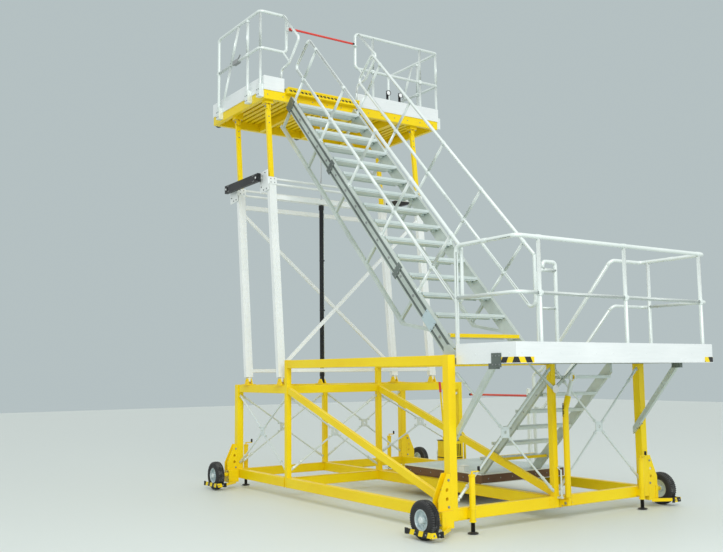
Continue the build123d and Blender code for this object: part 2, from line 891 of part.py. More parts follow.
# Red drop bar of the entry, hinged on the outer face of its post
arm_x = base_x + entry_bar_out / 2.0
hinge_x = base_x - entry_post / 2.0 + drop_gap
entry_bar = rod((arm_x, entry_bar_y, entry_bar_z), (arm_x, entry_bar_y + entry_bar_long, entry_bar_z), drop_r)
entry_bar = entry_bar + rod_x(hinge_x, arm_x + drop_r, entry_bar_y, entry_bar_z, drop_hub_r)
save("entry_drop_bar", [entry_bar])


# Lugs and clevises on the base
def clevis(x, y, low, pin_z, gap_half):
    # two tapered cheeks on a base plate, with the pin through them
    base_z = low + clevis_base
    out = [box(x - clevis_wide / 2.0, x + clevis_wide / 2.0, y - clevis_long / 2.0, y + clevis_long / 2.0, low,
               base_z)]
    top = pin_z + clevis_head / 2.0
    pts = [(y - clevis_foot / 2.0, base_z), (y + clevis_foot / 2.0, base_z), (y + clevis_head / 2.0, top),
           (y - clevis_head / 2.0, top)]
    for s in (-1, 1):
        x0 = x + s * gap_half
        x1 = x0 + s * clevis_cheek
        out.append(slab_x(pts, min(x0, x1), max(x0, x1)))
    return out


def base_lugs():
    out = []
    for y in (mast_front_y, mast_back_y):
        for x in (mast_left_x, mast_right_x):
            half = tongue_half + clevis_gap
            foot = clevis(x, y, mid_beam_top_z, mast_pin_z, half)
            reach = half + clevis_cheek + mast_pin_r
            out.extend(weld([rod_x(x - reach, x + reach, y, mast_pin_z, mast_pin_r)], foot))
    half = cyl_eye_half + cyl_cheek_gap
    foot = clevis(cyl_x, cyl_y, mid_beam_top_z, cyl_pin_z, half)
    reach = half + clevis_cheek + mast_pin_r
    out.extend(weld([rod_x(cyl_x - reach, cyl_x + reach, cyl_y, cyl_pin_z, cyl_pin_r)], foot))
    # the lug of the tow bar, on the front beam
    back = -half_i - tow_cheek
    lug = [box(tow_x - tow_foot, tow_x + tow_foot, back, -half_i, tow_pin_z - tow_foot, tow_pin_z + tow_foot)]
    for s in (-1, 1):
        x0 = tow_x + s * (tongue_half + tow_cheek_gap)
        lug.append(box(x0, x0 + s * tow_cheek, tow_y - tow_lug_high, back, tow_pin_z - tow_lug_high,
                       tow_pin_z + tow_lug_high))
    return out + weld([rod_x(tow_x - tow_foot, tow_x + tow_foot, tow_y, tow_pin_z, tow_pin_r)], lug)


cyl_y = row_mid_y + cyl_ahead
cyl_pin_z = mid_beam_top_z + cyl_pin_up
cyl_top_z = cyl_pin_z + cyl_long
cyl_eye_z = platform_low_z + ram_eye_up
save("base_lugs", base_lugs())


# Tower
def mast_walls(y_pin, x):
    w = mast_wall
    return [
        mast_prism(y_pin, x - half_m, x - half_m + w, mast_start, mast_end, -half_d, half_d),
        mast_prism(y_pin, x + half_m - w, x + half_m, mast_start, mast_end, -half_d, half_d),
        mast_prism(y_pin, x - half_m + w, x + half_m - w, mast_start, mast_end, -half_d, -half_d + w),
        mast_prism(y_pin, x - half_m + w, x + half_m - w, mast_start, mast_end, half_d - w, half_d),
    ]


def mast_collar(y_pin, x):
    # a band of four plates round the top of a mast
    xo = half_m + collar_thick
    no = half_d + collar_thick
    out = []
    for s in (-1, 1):
        out.append(mast_prism(y_pin, x + s * half_m, x + s * xo, collar_start, collar_end, -no, no))
        out.append(mast_prism(y_pin, x - half_m, x + half_m, collar_start, collar_end,
                              min(s * half_d, s * no), max(s * half_d, s * no)))
    return out


def mast_foot(y_pin, x):
    cap = mast_prism(y_pin, x - half_m, x + half_m, mast_start - mast_cap, mast_start, -half_d, half_d)
    tongue = mast_prism(y_pin, x - tongue_half, x + tongue_half, -tongue_low, mast_start - mast_cap,
                        -tongue_deep / 2.0, tongue_deep / 2.0)
    return (cap + tongue) - rod_x(x - half_m, x + half_m, y_pin, mast_pin_z, mast_pin_r + pin_gap)


def row_bracing(y_pin, rising):
    # cross bars between the two masts of one row, and one long diagonal in its leaning plane
    x0 = mast_left_x + half_m
    x1 = mast_right_x - half_m
    h = row_bar_half
    out = []
    for t, deep in ((row_low_t, row_low_deep), (row_high_t, row_high_deep)):
        out.append(mast_prism(y_pin, x0, x1, t - deep / 2.0, t + deep / 2.0, -h, h))
    for k in (0, 1):
        t = row_thin_t + k * row_thin_step
        out.append(mast_prism(y_pin, x0 + collar_thick, x1 - collar_thick, t - row_thin_deep / 2.0,
                              t + row_thin_deep / 2.0, -h, h))
    t0 = row_diagonal_low_t
    t1 = row_diagonal_high_t
    deep = row_diagonal_deep / math.cos(math.atan2(t1 - t0, x1 - x0))
    ends = (x0, x1) if rising else (x1, x0)
    corners = [(ends[0], t0), (ends[1], t1 - deep), (ends[1], t1), (ends[0], t0 + deep)]
    y, z = on_mast(y_pin, 0.0, 0.0)
    plane = Plane(origin=(0, y, z), x_dir=(1, 0, 0), z_dir=(0, -lean_c, lean_s))
    face = plane * make_face(Polyline(*[(a, b, 0) for a, b in corners], close=True))
    out.append(extrude(face, amount=row_diagonal_half, both=True))
    return out


link_inner = half_m + collar_thick + link_plate + link_stand
link_outer = link_inner + link_wide


def link_seat(y_pin, x, s):
    # the plate outside a mast that carries one pin of a link beam
    inner = x + s * (half_m + collar_thick)
    outer = inner + s * link_plate
    y, z = on_mast(y_pin, link_t, link_n)
    plate = mast_prism(y_pin, inner, outer, link_t - link_plate_low, link_t + link_plate_high, -link_plate_in,
                       link_n + link_plate_out)
    return plate + rod_x(outer, x + s * (link_outer + link_pin_over), y, z, link_pin_r)


def tower_row(y_pin, rising):
    out = []
    for x, s in ((mast_left_x, -1), (mast_right_x, 1)):
        out.extend(mast_walls(y_pin, x) + mast_collar(y_pin, x))
        out.append(mast_foot(y_pin, x))
        out.append(link_seat(y_pin, x, s))
    return out + row_bracing(y_pin, rising)


def inner_legs(y_pin):
    half_x = leg_wide / 2.0
    half_n = half_d - mast_wall - leg_gap
    top = leg_pin - leg_eye_long
    y, z = on_mast(y_pin, leg_pin, 0.0)
    out = []
    for x in (mast_left_x, mast_right_x):
        leg = mast_prism(y_pin, x - half_x, x + half_x, leg_start, top, -half_n, half_n)
        leg = leg + mast_prism(y_pin, x - leg_eye_half, x + leg_eye_half, top, leg_pin + leg_eye_over,
                               -leg_eye_over, leg_eye_over)
        out.append(leg - rod_x(x - half_x, x + half_x, y, z, mast_pin_r + pin_gap))
    return out


def link_beams():
    y0, z = on_mast(mast_front_y, link_t, link_n)
    y1 = y0 + mast_row_step
    out = []
    for x, s in ((mast_left_x, -1), (mast_right_x, 1)):
        xa = x + s * link_inner
        xb = x + s * link_outer
        beam = box(xa, xb, y0 - link_over, y1 + link_over, z - link_deep / 2.0, z + link_deep / 2.0)
        for y in (y0, y1):
            beam = beam - rod_x(xa - s * link_pin_over, xb + s * link_pin_over, y, z, link_pin_r + pin_gap)
        out.append(beam)
    return out


save("tower_front_row", tower_row(mast_front_y, True))
save("tower_back_row", tower_row(mast_back_y, False))
save("tower_front_inner_legs", inner_legs(mast_front_y))
save("tower_back_inner_legs", inner_legs(mast_back_y))
save("tower_link_beams", link_beams())


# Lifting cylinder and its ram
def lift_cylinder():
    z0 = cyl_pin_z
    barrel = rod((cyl_x, cyl_y, z0 + cyl_start), (cyl_x, cyl_y, cyl_top_z), cyl_r)
    barrel = barrel + rod((cyl_x, cyl_y, cyl_top_z - cyl_head_long), (cyl_x, cyl_y, cyl_top_z), cyl_head_r)
    barrel = barrel - rod((cyl_x, cyl_y, z0 + cyl_bore_start), (cyl_x, cyl_y, cyl_top_z + 1.0), ram_r + ram_gap)
    half = cyl_eye_deep / 2.0
    eye = box(cyl_x - cyl_eye_half, cyl_x + cyl_eye_half, cyl_y - half, cyl_y + half, z0 - half, z0 + cyl_start)
    return (barrel + eye) - rod_x(cyl_x - cyl_r, cyl_x + cyl_r, cyl_y, z0, cyl_pin_r + pin_gap)


def lift_ram():
    # the eye's hole is wider than the pin of the platform, since this pivot is left open
    half = ram_eye_deep / 2.0
    bar = rod((cyl_x, cyl_y, cyl_top_z - ram_inside), (cyl_x, cyl_y, cyl_eye_z - half), ram_r)
    bar = bar + box(cyl_x - ram_eye_half, cyl_x + ram_eye_half, cyl_y - half, cyl_y + half,
                    cyl_eye_z - half, cyl_eye_z + half)
    return bar - rod_x(cyl_x - half, cyl_x + half, cyl_y, cyl_eye_z, cyl_pin_r + ram_pin_gap)


save("lift_cylinder", [lift_cylinder()])
save("lift_ram", [lift_ram()])


# Platform
def head_clevis(x, y, z, gap_half, head, pin_r):
    # hangs under the platform's deck; head is the free room over the pin
    w = head_plate_wide / 2.0
    h = head_plate_long / 2.0
    c = head_cheek_long / 2.0
    out = box(x - w, x + w, y - h, y + h, z + head, platform_mid_z)
    for s in (-1, 1):
        x0 = x + s * gap_half
        out = out + box(x0, x0 + s * head_cheek, y - c, y + c, z - c, z + head)
    reach = gap_half + head_cheek + mast_pin_r / 2.0
    return out + rod_x(x - reach, x + reach, y, z, pin_r)


def platform_frame():
    x0 = platform_left_x
    x1 = platform_right_x
    w = platform_beam
    out = []
    for y in (platform_near_y, platform_far_y - w):
        out.append(box(x0, x1, y, y + w, platform_low_z, platform_mid_z))
    for k in range(platform_bay_count + 1):
        x = x0 + k * (x1 - x0 - w) / platform_bay_count
        out.append(box(x, x + w, platform_near_y + w, platform_far_y - w, platform_low_z, platform_mid_z))
    # the corners of the square eyes pass under the plates as the legs lean
    leg_room = leg_eye_over * math.sqrt(2.0) + clevis_gap
    heads = []
    for y_pin in (mast_front_y, mast_back_y):
        y, z = on_mast(y_pin, leg_pin, 0.0)
        for x in (mast_left_x, mast_right_x):
            heads.append(head_clevis(x, y, z, leg_eye_half + clevis_gap, leg_room, mast_pin_r))
    heads.append(head_clevis(cyl_x, cyl_y, cyl_eye_z, ram_eye_half + cyl_cheek_gap,
                             ram_eye_deep / 2.0 + 2.0 * clevis_gap, cyl_pin_r))
    sill = box(sill_left_x, sill_right_x, platform_near_y - sill_reach, platform_near_y,
               platform_top_z - sill_high, platform_top_z)
    return weld(heads, out) + [sill]


def platform_toe_boards():
    x0 = platform_left_x
    x1 = platform_right_x
    near = platform_near_y - toe_board_thick
    low = platform_mid_z - platform_toe_drop
    top = platform_top_z + platform_toe_high
    return [
        box(x0 - toe_board_thick, x0, near, platform_far_y, low, top),
        box(x0, sill_left_x - platform_toe_drop, near, platform_near_y, low, top),
        box(sill_right_x + platform_toe_drop, x1, near, platform_near_y, low, top),
        box(x1, x1 + toe_board_thick, near, platform_far_y, low, top),
    ]


def platform_bumpers():
    out = []
    z = platform_low_z + bumper_up
    middle = (platform_left_x + platform_right_x) / 2.0
    for x in (platform_left_x + bumper_in, middle, platform_right_x - bumper_in):
        out.append(rod((x, platform_far_y, z), (x, platform_far_y + bumper_long, z), bumper_r))
    return out


save("platform_deck", [box(platform_left_x, platform_right_x, platform_near_y, platform_far_y, platform_mid_z,
                           platform_top_z)])
save("platform_frame", platform_frame())
save("platform_toe_boards", platform_toe_boards())
save("platform_bumpers", platform_bumpers())

# Guard rails of the platform: posts stand outside on brackets, rails turn in at the stair
guard_top = platform_top_z + platform_rail_high
guard_mid = platform_top_z + platform_mid_high
guard_y = platform_near_y + platform_rail_in_y
guard_far_y = platform_far_y - platform_rail_far
bracket_top = platform_mid_z + platform_deck_thick + side_bracket_high
drop_z = guard_top - drop_bar_down
drop_y = guard_y - drop_bar_ahead


def side_bracket(edge, s, y):
    # hooks under the toe board and carries a post outside it
    y0 = y - side_bracket_wide / 2.0
    y1 = y + side_bracket_wide / 2.0
    low = platform_mid_z - side_bracket_low
    face = edge + s * toe_board_thick
    out = box(face, face + s * side_bracket_deep, y0, y1, low, bracket_top)
    return out + box(edge, face, y0, y1, low, platform_mid_z - platform_toe_drop)


def guard_side(edge, s, open_x, post_back, near_xs):
    # s is -1 on the left side and 1 on the right
    turn = platform_bend * (1.0 - math.sqrt(0.5))
    corner_x = edge + s * (toe_board_thick + side_post_gap + stair_rail_r)
    corner_y = guard_y + turn
    xs = corner_x + s * turn
    loop = run([(xs, guard_far_y, bracket_top), (xs, guard_far_y, guard_top), (xs, guard_y, guard_top),
                (open_x, guard_y, guard_top), (open_x, guard_y, guard_mid), (xs, guard_y, guard_mid),
                (xs, guard_y + post_back / 2.0, guard_mid)], rail_r, platform_bend)
    middle = [rod((xs, guard_y + post_back / 2.0, guard_mid), (xs, guard_far_y, guard_mid), rail_r)]
    # the corner post meets the bends of both rails
    posts = [rod((corner_x, corner_y, bracket_top), (corner_x, corner_y, guard_top), stair_rail_r)]
    posts.append(rod((xs, guard_y + post_back, bracket_top), (xs, guard_y + post_back, guard_top), stair_rail_r))
    for x in near_xs:
        posts.append(rod((x, guard_y, platform_top_z), (x, guard_y, guard_top), stair_rail_r))
    slant = [rod((xs, guard_y + slant_start, guard_top), (xs, guard_y + slant_end, platform_top_z + slant_end_high),
                 return_r)]
    back_x = open_x + s * return_in
    ys = [guard_y - d for d in return_ys]
    zs = [guard_top - d for d in return_downs]
    hook = run([(back_x, guard_y, guard_top)] + [(back_x, y, z) for y, z in zip(ys, zs)]
               + [(back_x, ys[-1], platform_top_z)], return_r, platform_bend)
    brackets = [side_bracket(edge, s, corner_y), side_bracket(edge, s, guard_y + post_back),
                side_bracket(edge, s, guard_far_y)]
    return weld(loop, middle, posts, slant, hook) + brackets


def drop_bar_fittings():
    # the hinge plate on the left return and a rest on the right loop
    z0 = drop_z - drop_hub_r
    y1 = drop_y + drop_hub_r
    left = box(stair_open_left - rail_r, stair_open_left + drop_bar_start + drop_hub_r, y1 - drop_r / 2.0 + drop_gap,
               guard_y, z0, drop_z + drop_hub_r)
    rest_z = drop_z - drop_r - clevis_gap
    right = box(stair_open_right - drop_bar_end - drop_hub_r, stair_open_right, drop_y - drop_r, guard_y,
                rest_z - bar_thick, rest_z)
    return [left, right]


guards = (guard_side(platform_left_x, -1, stair_open_left, left_post_back, ())
          + guard_side(platform_right_x, 1, stair_open_right, right_post_back, right_near_post_xs))
save("platform_guard_rails", weld(guards, drop_bar_fittings()))
hub_x = stair_open_left + drop_bar_start
platform_bar = rod_x(hub_x, stair_open_right - drop_bar_end, drop_y, drop_z, drop_r)
platform_bar = platform_bar + rod((hub_x, drop_y - drop_hub_r + drop_r / 2.0, drop_z),
                                  (hub_x, drop_y + drop_hub_r - drop_r / 2.0, drop_z), drop_hub_r)
save("platform_drop_bar", [platform_bar])

# Main stair
stringer_top = -stringer_drop + stringer_deep / 2.0
stringer_low = -stringer_drop - stringer_deep / 2.0
post_last = stair_long + stair_post_over
post_step = (post_last - stair_post_first) / (stair_post_count - 1)
post_ts = [stair_post_first + post_step * k for k in range(stair_post_count)]


def stair_quad(t0, t1, n0, n1, x, half):
    pts = [on_stair(t0, n0), on_stair(t1, n0), on_stair(t1, n1), on_stair(t0, n1)]
    return slab_x(pts, x - half, x + half)


def t_at(y, n):
    # how far along the slope the line at height n passes over y
    return (y - nose_y + n * stair_s) / stair_c


def tread_pin(i):
    y, z = on_stair((tread_count - i) * tread_pitch, 0.0)
    return y + tread_pin_back, z - tread_pin_down


def stringer(x):
    half = stringer_thick / 2.0
    body = stair_quad(-stringer_under, stair_long + stringer_over, stringer_low, stringer_top, x, half)
    for i in range(1, tread_count + 1):
        body = body - rod_x(x - stringer_thick, x + stringer_thick, *tread_pin(i), tread_pin_r + pin_gap)
    foot = on_stair(-foot_back, -stringer_drop)
    return body - rod_x(x - stringer_thick, x + stringer_thick, *foot, foot_pin_r + pin_gap)


def truss(x):
    # the bar below a stringer and the short posts to it
    half = chord_size / 2.0
    start = stair_post_first - chord_over
    out = [stair_quad(start, post_last + chord_over, -chord_drop - half, -chord_drop + half, x, half)]
    root = start - chord_root
    pts = [on_stair(start, -chord_drop - half), on_stair(start, -chord_drop + half),
           on_stair(root + chord_root_wide, stringer_low), on_stair(root, stringer_low)]
    out.append(slab_x(pts, x - half, x + half))
    w = truss_post / 2.0
    for t in post_ts:
        out.append(stair_quad(t - w, t + w, -chord_drop + half, stringer_low, x, w))
    return out


def stair_rail(x):
    # top and mid rail joined by a loop at the head and a plumb length at the foot
    middle = post_ts[1] + post_step / 2.0
    places = [
        (middle, stair_mid_rail),
        (stair_long + stair_loop_mid, stair_mid_rail),
        (stair_long + stair_loop_top, stair_top_rail),
        (t_at(stair_rail_end_y, stair_top_rail), stair_top_rail),
        (t_at(stair_rail_end_y, stair_mid_rail), stair_mid_rail),
        (middle, stair_mid_rail),
    ]
    points = [(x, *on_stair(t, n)) for t, n in places]
    rails = run(points[:4], stair_rail_r, stair_bend)
    foot = run(points[3:], stair_foot_r, stair_bend)
    posts = [rod((x, *on_stair(t, stringer_top)), (x, *on_stair(t, stair_top_rail)), stair_post_r) for t in post_ts]
    return weld(rails, foot, posts)


left_x = stair_left_x + stringer_thick / 2.0
right_x = stair_right_x - stringer_thick / 2.0
save("stair_sides", [stringer(left_x), stringer(right_x)] + truss(left_x) + truss(right_x))
save("stair_hand_rails", stair_rail(left_x) + stair_rail(right_x))


def tread(i):
    # one step between the stringers, level on its own two pins
    x0 = stair_left_x + stringer_thick + tread_side_gap
    x1 = stair_right_x - stringer_thick - tread_side_gap
    y, z = on_stair((tread_count - i) * tread_pitch, 0.0)
    py, pz = tread_pin(i)
    h = tread_lug / 2.0
    body = box(x0, x1, y, y + tread_deep, z - tread_thick, z)
    for x, s, side in ((x0, 1, stair_left_x), (x1, -1, stair_right_x)):
        body = body + box(x, x + s * tread_lug_thick, py - h, py + h, pz - h, z - tread_thick)
        body = body + rod_x(side + s * tread_pin_in, x + s * tread_lug_thick / 2.0, py, pz, tread_pin_r)
    return body


for i in range(1, tread_count + 1):
    save("stair_tread_%02d" % i, [tread(i)])


# Tow bar
def tow_bar():
    tube = run([(tow_x, tow_y, tow_pin_z + tow_bar_start), (tow_x, tow_y, tow_bend_z),
                (tow_x + tow_tube_shift, tow_y, tow_tube_z)], tow_r, 2.0 * rail_bend)
    eye = (tow_x + tow_eye_shift, tow_y, tow_eye_z)
    half = tow_ring_thick / 2.0
    # the shank ends inside the ring's wall, clear of its hole
    rise = tow_eye_z - tow_tube_z
    across = tow_eye_shift - tow_tube_shift
    share = 1.0 - (tow_ring_r + tow_eye_r) / 2.0 / math.hypot(across, rise)
    end = (tow_x + tow_tube_shift + share * across, tow_y, tow_tube_z + share * rise)
    shank = rod((tow_x + tow_tube_shift, tow_y, tow_tube_z), end, tow_shank_r)
    shank = shank + rod((eye[0], tow_y - half, eye[2]), (eye[0], tow_y + half, eye[2]), tow_ring_r)
    shank = shank - rod((eye[0], tow_y - tow_r, eye[2]), (eye[0], tow_y + tow_r, eye[2]), tow_eye_r)
    h = tow_lug_high - clevis_gap
    foot = box(tow_x - tongue_half, tow_x + tongue_half, tow_y - h, tow_y + h, tow_pin_z - h,
               tow_pin_z + tow_bar_start)
    foot = foot - rod_x(tow_x - tow_foot, tow_x + tow_foot, tow_y, tow_pin_z, tow_pin_r + pin_gap)
    return weld(tube, [foot], [shank])


save("tow_bar", tow_bar())
print("written", len(os.listdir("parts")), "parts")
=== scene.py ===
import bpy
import bmesh
import math
from mathutils import Matrix, Vector


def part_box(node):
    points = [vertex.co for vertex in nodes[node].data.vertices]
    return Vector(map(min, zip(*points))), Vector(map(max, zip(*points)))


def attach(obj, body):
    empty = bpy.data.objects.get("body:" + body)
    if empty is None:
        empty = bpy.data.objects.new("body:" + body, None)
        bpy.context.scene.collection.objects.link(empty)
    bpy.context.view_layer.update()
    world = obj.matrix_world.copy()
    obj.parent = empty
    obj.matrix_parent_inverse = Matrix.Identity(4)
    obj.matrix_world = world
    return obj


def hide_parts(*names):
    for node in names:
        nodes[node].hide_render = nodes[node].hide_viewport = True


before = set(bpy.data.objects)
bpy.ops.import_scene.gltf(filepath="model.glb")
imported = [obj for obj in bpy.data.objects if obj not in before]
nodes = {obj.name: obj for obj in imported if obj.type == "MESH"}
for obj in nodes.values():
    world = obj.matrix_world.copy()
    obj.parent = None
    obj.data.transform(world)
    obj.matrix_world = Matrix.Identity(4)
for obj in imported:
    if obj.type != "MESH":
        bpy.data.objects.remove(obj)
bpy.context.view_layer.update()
scene = bpy.context.scene

# the drawing's own zero is the middle of the front left post, on the floor
postHalf = 45.0
postLow = Vector(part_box("base_posts")[0])
zero = Vector((postLow.x + postHalf / 1000, postLow.y + postHalf / 1000, 0.0))
platformLow, platformHigh = [Vector(v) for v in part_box("platform_deck")]
nearY = (platformLow.y - zero.y) * 1000
farY = (platformHigh.y - zero.y) * 1000
platformTop = platformHigh.z * 1000
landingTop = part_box("landing_deck")[1][2] * 1000


def at(x, y, z):
    # drawing millimetres to metres in the frame
    return zero + Vector((x, y, z)) / 1000


# camera, as fitted to the photograph

photoView = {
    "yaw": 0.5962,
    "pitch": 0.1081,
    "roll": -0.0099,
    "lens": 44.037,
    "place": (-6.9207, -8.8737, 1.5453),
}


def makeCamera(s):
    sinYaw, cosYaw = math.sin(s["yaw"]), math.cos(s["yaw"])
    sinPitch, cosPitch = math.sin(s["pitch"]), math.cos(s["pitch"])
    sinRoll, cosRoll = math.sin(s["roll"]), math.cos(s["roll"])
    ahead = Vector((sinYaw * cosPitch, cosYaw * cosPitch, sinPitch))
    side = Vector((cosYaw, -sinYaw, 0.0))
    over = side.cross(ahead)
    rows = (cosRoll * side + sinRoll * over, cosRoll * over - sinRoll * side, -ahead)
    data = bpy.data.cameras.new("photoCamera")
    data.lens = s["lens"]
    data.sensor_width = 36.0
    data.clip_end = 200.0
    camera = bpy.data.objects.new("photoCamera", data)
    camera.matrix_world = Matrix.Translation(s["place"]) @ Matrix(rows).transposed().to_4x4()
    scene.collection.objects.link(camera)
    scene.camera = camera


makeCamera(photoView)
print("camera placed")


# shader groups shared by the finishes

number = "NodeSocketFloat"
direction = "NodeSocketVector"


def newGroup(name, inputs, outputs):
    tree = bpy.data.node_groups.new(name, "ShaderNodeTree")
    for label, kind, value in inputs:
        tree.interface.new_socket(name=label, in_out="INPUT", socket_type=kind).default_value = value
    for label in outputs:
        tree.interface.new_socket(name=label, in_out="OUTPUT", socket_type=number)
    return tree, tree.nodes.new("NodeGroupInput").outputs, tree.nodes.new("NodeGroupOutput").inputs


def plug(tree, value, socket):
    # a plain number or tuple is set on the socket, anything else is linked to it
    if isinstance(value, (int, float, tuple)):
        socket.default_value = value
    else:
        tree.links.new(value, socket)


def calc(tree, kind, a, b=0.0, clamp=False):
    node = tree.nodes.new("ShaderNodeMath")
    node.operation = kind
    node.use_clamp = clamp
    plug(tree, a, node.inputs[0])
    plug(tree, b, node.inputs[1])
    return node.outputs[0]


def times(tree, first, *others):
    for other in others:
        first = calc(tree, "MULTIPLY", first, other)
    return first


def vectorCalc(tree, kind, a, b):
    node = tree.nodes.new("ShaderNodeVectorMath")
    node.operation = kind
    plug(tree, a, node.inputs[0])
    plug(tree, b, node.inputs[1])
    return node.outputs["Value"] if kind == "DOT_PRODUCT" else node.outputs["Vector"]


def noise(tree, where, scale, detail):
    node = tree.nodes.new("ShaderNodeTexNoise")
    node.inputs["Detail"].default_value = detail
    plug(tree, where, node.inputs["Vector"])
    plug(tree, scale, node.inputs["Scale"])
    return node.outputs["Fac"]


def raised(tree, value, level, gain):
    # what lies above a level, sharpened
    return calc(tree, "MULTIPLY", calc(tree, "SUBTRACT", value, level), gain, True)


def onObject(tree):
    return tree.nodes.new("ShaderNodeTexCoord").outputs["Object"]


def surfaceNormal(tree):
    return tree.nodes.new("ShaderNodeNewGeometry").outputs["Normal"]


def parts(tree, vector):
    split = tree.nodes.new("ShaderNodeSeparateXYZ")
    tree.links.new(vector, split.inputs[0])
    return split.outputs


def buildWornEdges():
    # a rounded normal is compared with the real one, and patches break up the worn edge
    inputs = [("Radius", number, 0.004), ("Patches", number, 14.0), ("Amount", number, 0.8)]
    tree, given, out = newGroup("wornEdges", inputs, ["Mask"])
    rounded = tree.nodes.new("ShaderNodeBevel")
    rounded.samples = 4
    plug(tree, given["Radius"], rounded.inputs["Radius"])
    same = vectorCalc(tree, "DOT_PRODUCT", rounded.outputs[0], surfaceNormal(tree))
    edge = calc(tree, "MULTIPLY", calc(tree, "SUBTRACT", 1.0, same), 9.0, True)
    patch = raised(tree, noise(tree, onObject(tree), given["Patches"], 5.0), 0.5, 7.0)
    plug(tree, times(tree, edge, patch, given["Amount"]), out["Mask"])


def buildFineGrain():
    # broad shade and fine height, stretched along the rolled or drawn direction
    inputs = [("Scale", number, 60.0), ("Stretch", direction, (1.0, 1.0, 1.0)), ("Broad", number, 1.6)]
    tree, given, out = newGroup("fineGrain", inputs, ["Shade", "Height"])
    where = onObject(tree)
    broad = noise(tree, where, given["Broad"], 4.0)
    fine = noise(tree, vectorCalc(tree, "MULTIPLY", where, given["Stretch"]), given["Scale"], 2.0)
    shade = calc(tree, "ADD", times(tree, broad, 1.5), times(tree, fine, 0.7))
    plug(tree, calc(tree, "SUBTRACT", shade, 0.6, True), out["Shade"])
    plug(tree, fine, out["Height"])


def buildWarningBands():
    # slanted bands between two heights, and only so far out
    inputs = [("Pitch", number, 0.1), ("Slant", direction, (1.0, 1.0, 1.0)), ("Low", number, -1.0),
              ("High", number, 20.0), ("Out", number, -1.0)]
    tree, given, out = newGroup("warningBands", inputs, ["Mask"])
    where = onObject(tree)
    along = calc(tree, "DIVIDE", vectorCalc(tree, "DOT_PRODUCT", where, given["Slant"]), given["Pitch"])
    band = calc(tree, "GREATER_THAN", calc(tree, "FRACT", along), 0.5)
    place = parts(tree, where)
    above = calc(tree, "GREATER_THAN", place["Z"], given["Low"])
    below = calc(tree, "LESS_THAN", place["Z"], given["High"])
    outer = calc(tree, "GREATER_THAN", calc(tree, "ABSOLUTE", place["X"]), given["Out"])
    plug(tree, times(tree, band, above, below, outer), out["Mask"])


def buildSettledDust():
    # dust lies on what faces up, in soft patches
    tree, given, out = newGroup("settledDust", [("Amount", number, 0.3), ("Patches", number, 5.0)], ["Mask"])
    lying = raised(tree, parts(tree, surfaceNormal(tree))["Z"], 0.3, 1.4)
    patch = raised(tree, noise(tree, onObject(tree), given["Patches"], 4.0), 0.3, 2.0)
    plug(tree, times(tree, lying, patch, given["Amount"]), out["Mask"])


def buildRolledRibs():
    inputs = [("Pitch", number, 0.02), ("Across", direction, (0.0, 1.0, 0.0))]
    tree, given, out = newGroup("rolledRibs", inputs, ["Height"])
    across = vectorCalc(tree, "DOT_PRODUCT", onObject(tree), given["Across"])
    plug(tree, calc(tree, "PINGPONG", calc(tree, "DIVIDE", across, given["Pitch"]), 0.5), out["Height"])


def buildAbovePart():
    # marks what lies above a height, for a second colour
    tree, given, out = newGroup("abovePart", [("Level", number, 0.0)], ["Mask"])
    plug(tree, calc(tree, "GREATER_THAN", parts(tree, onObject(tree))["Z"], given["Level"]), out["Mask"])


buildWornEdges()
buildFineGrain()
buildWarningBands()
buildSettledDust()
buildRolledRibs()
buildAbovePart()
print("shader groups built")


# finishes: what one doesn't say is as in usualLook

usualLook = {"metal": 0.0, "coat": 0.0, "specular": 0.5, "stretch": (1.0, 1.0, 1.0), "wearAmount": 0.5,
             "dust": 0.1, "bump": 0.03, "grain": 90.0}

safetyYellow = {"colour": (0.98, 0.76, 0.0), "shade": (0.92, 0.62, 0.0)}
framePaint = {**safetyYellow, "rough": (0.34, 0.50), "specular": 0.35, "wear": (0.20, 0.14, 0.07),
              "bump": 0.04}
bracketBands = {"Pitch": 0.13, "Slant": (1.0, 1.0, 0.4), "Low": 0.0, "High": 0.0962, "Out": 1.695}

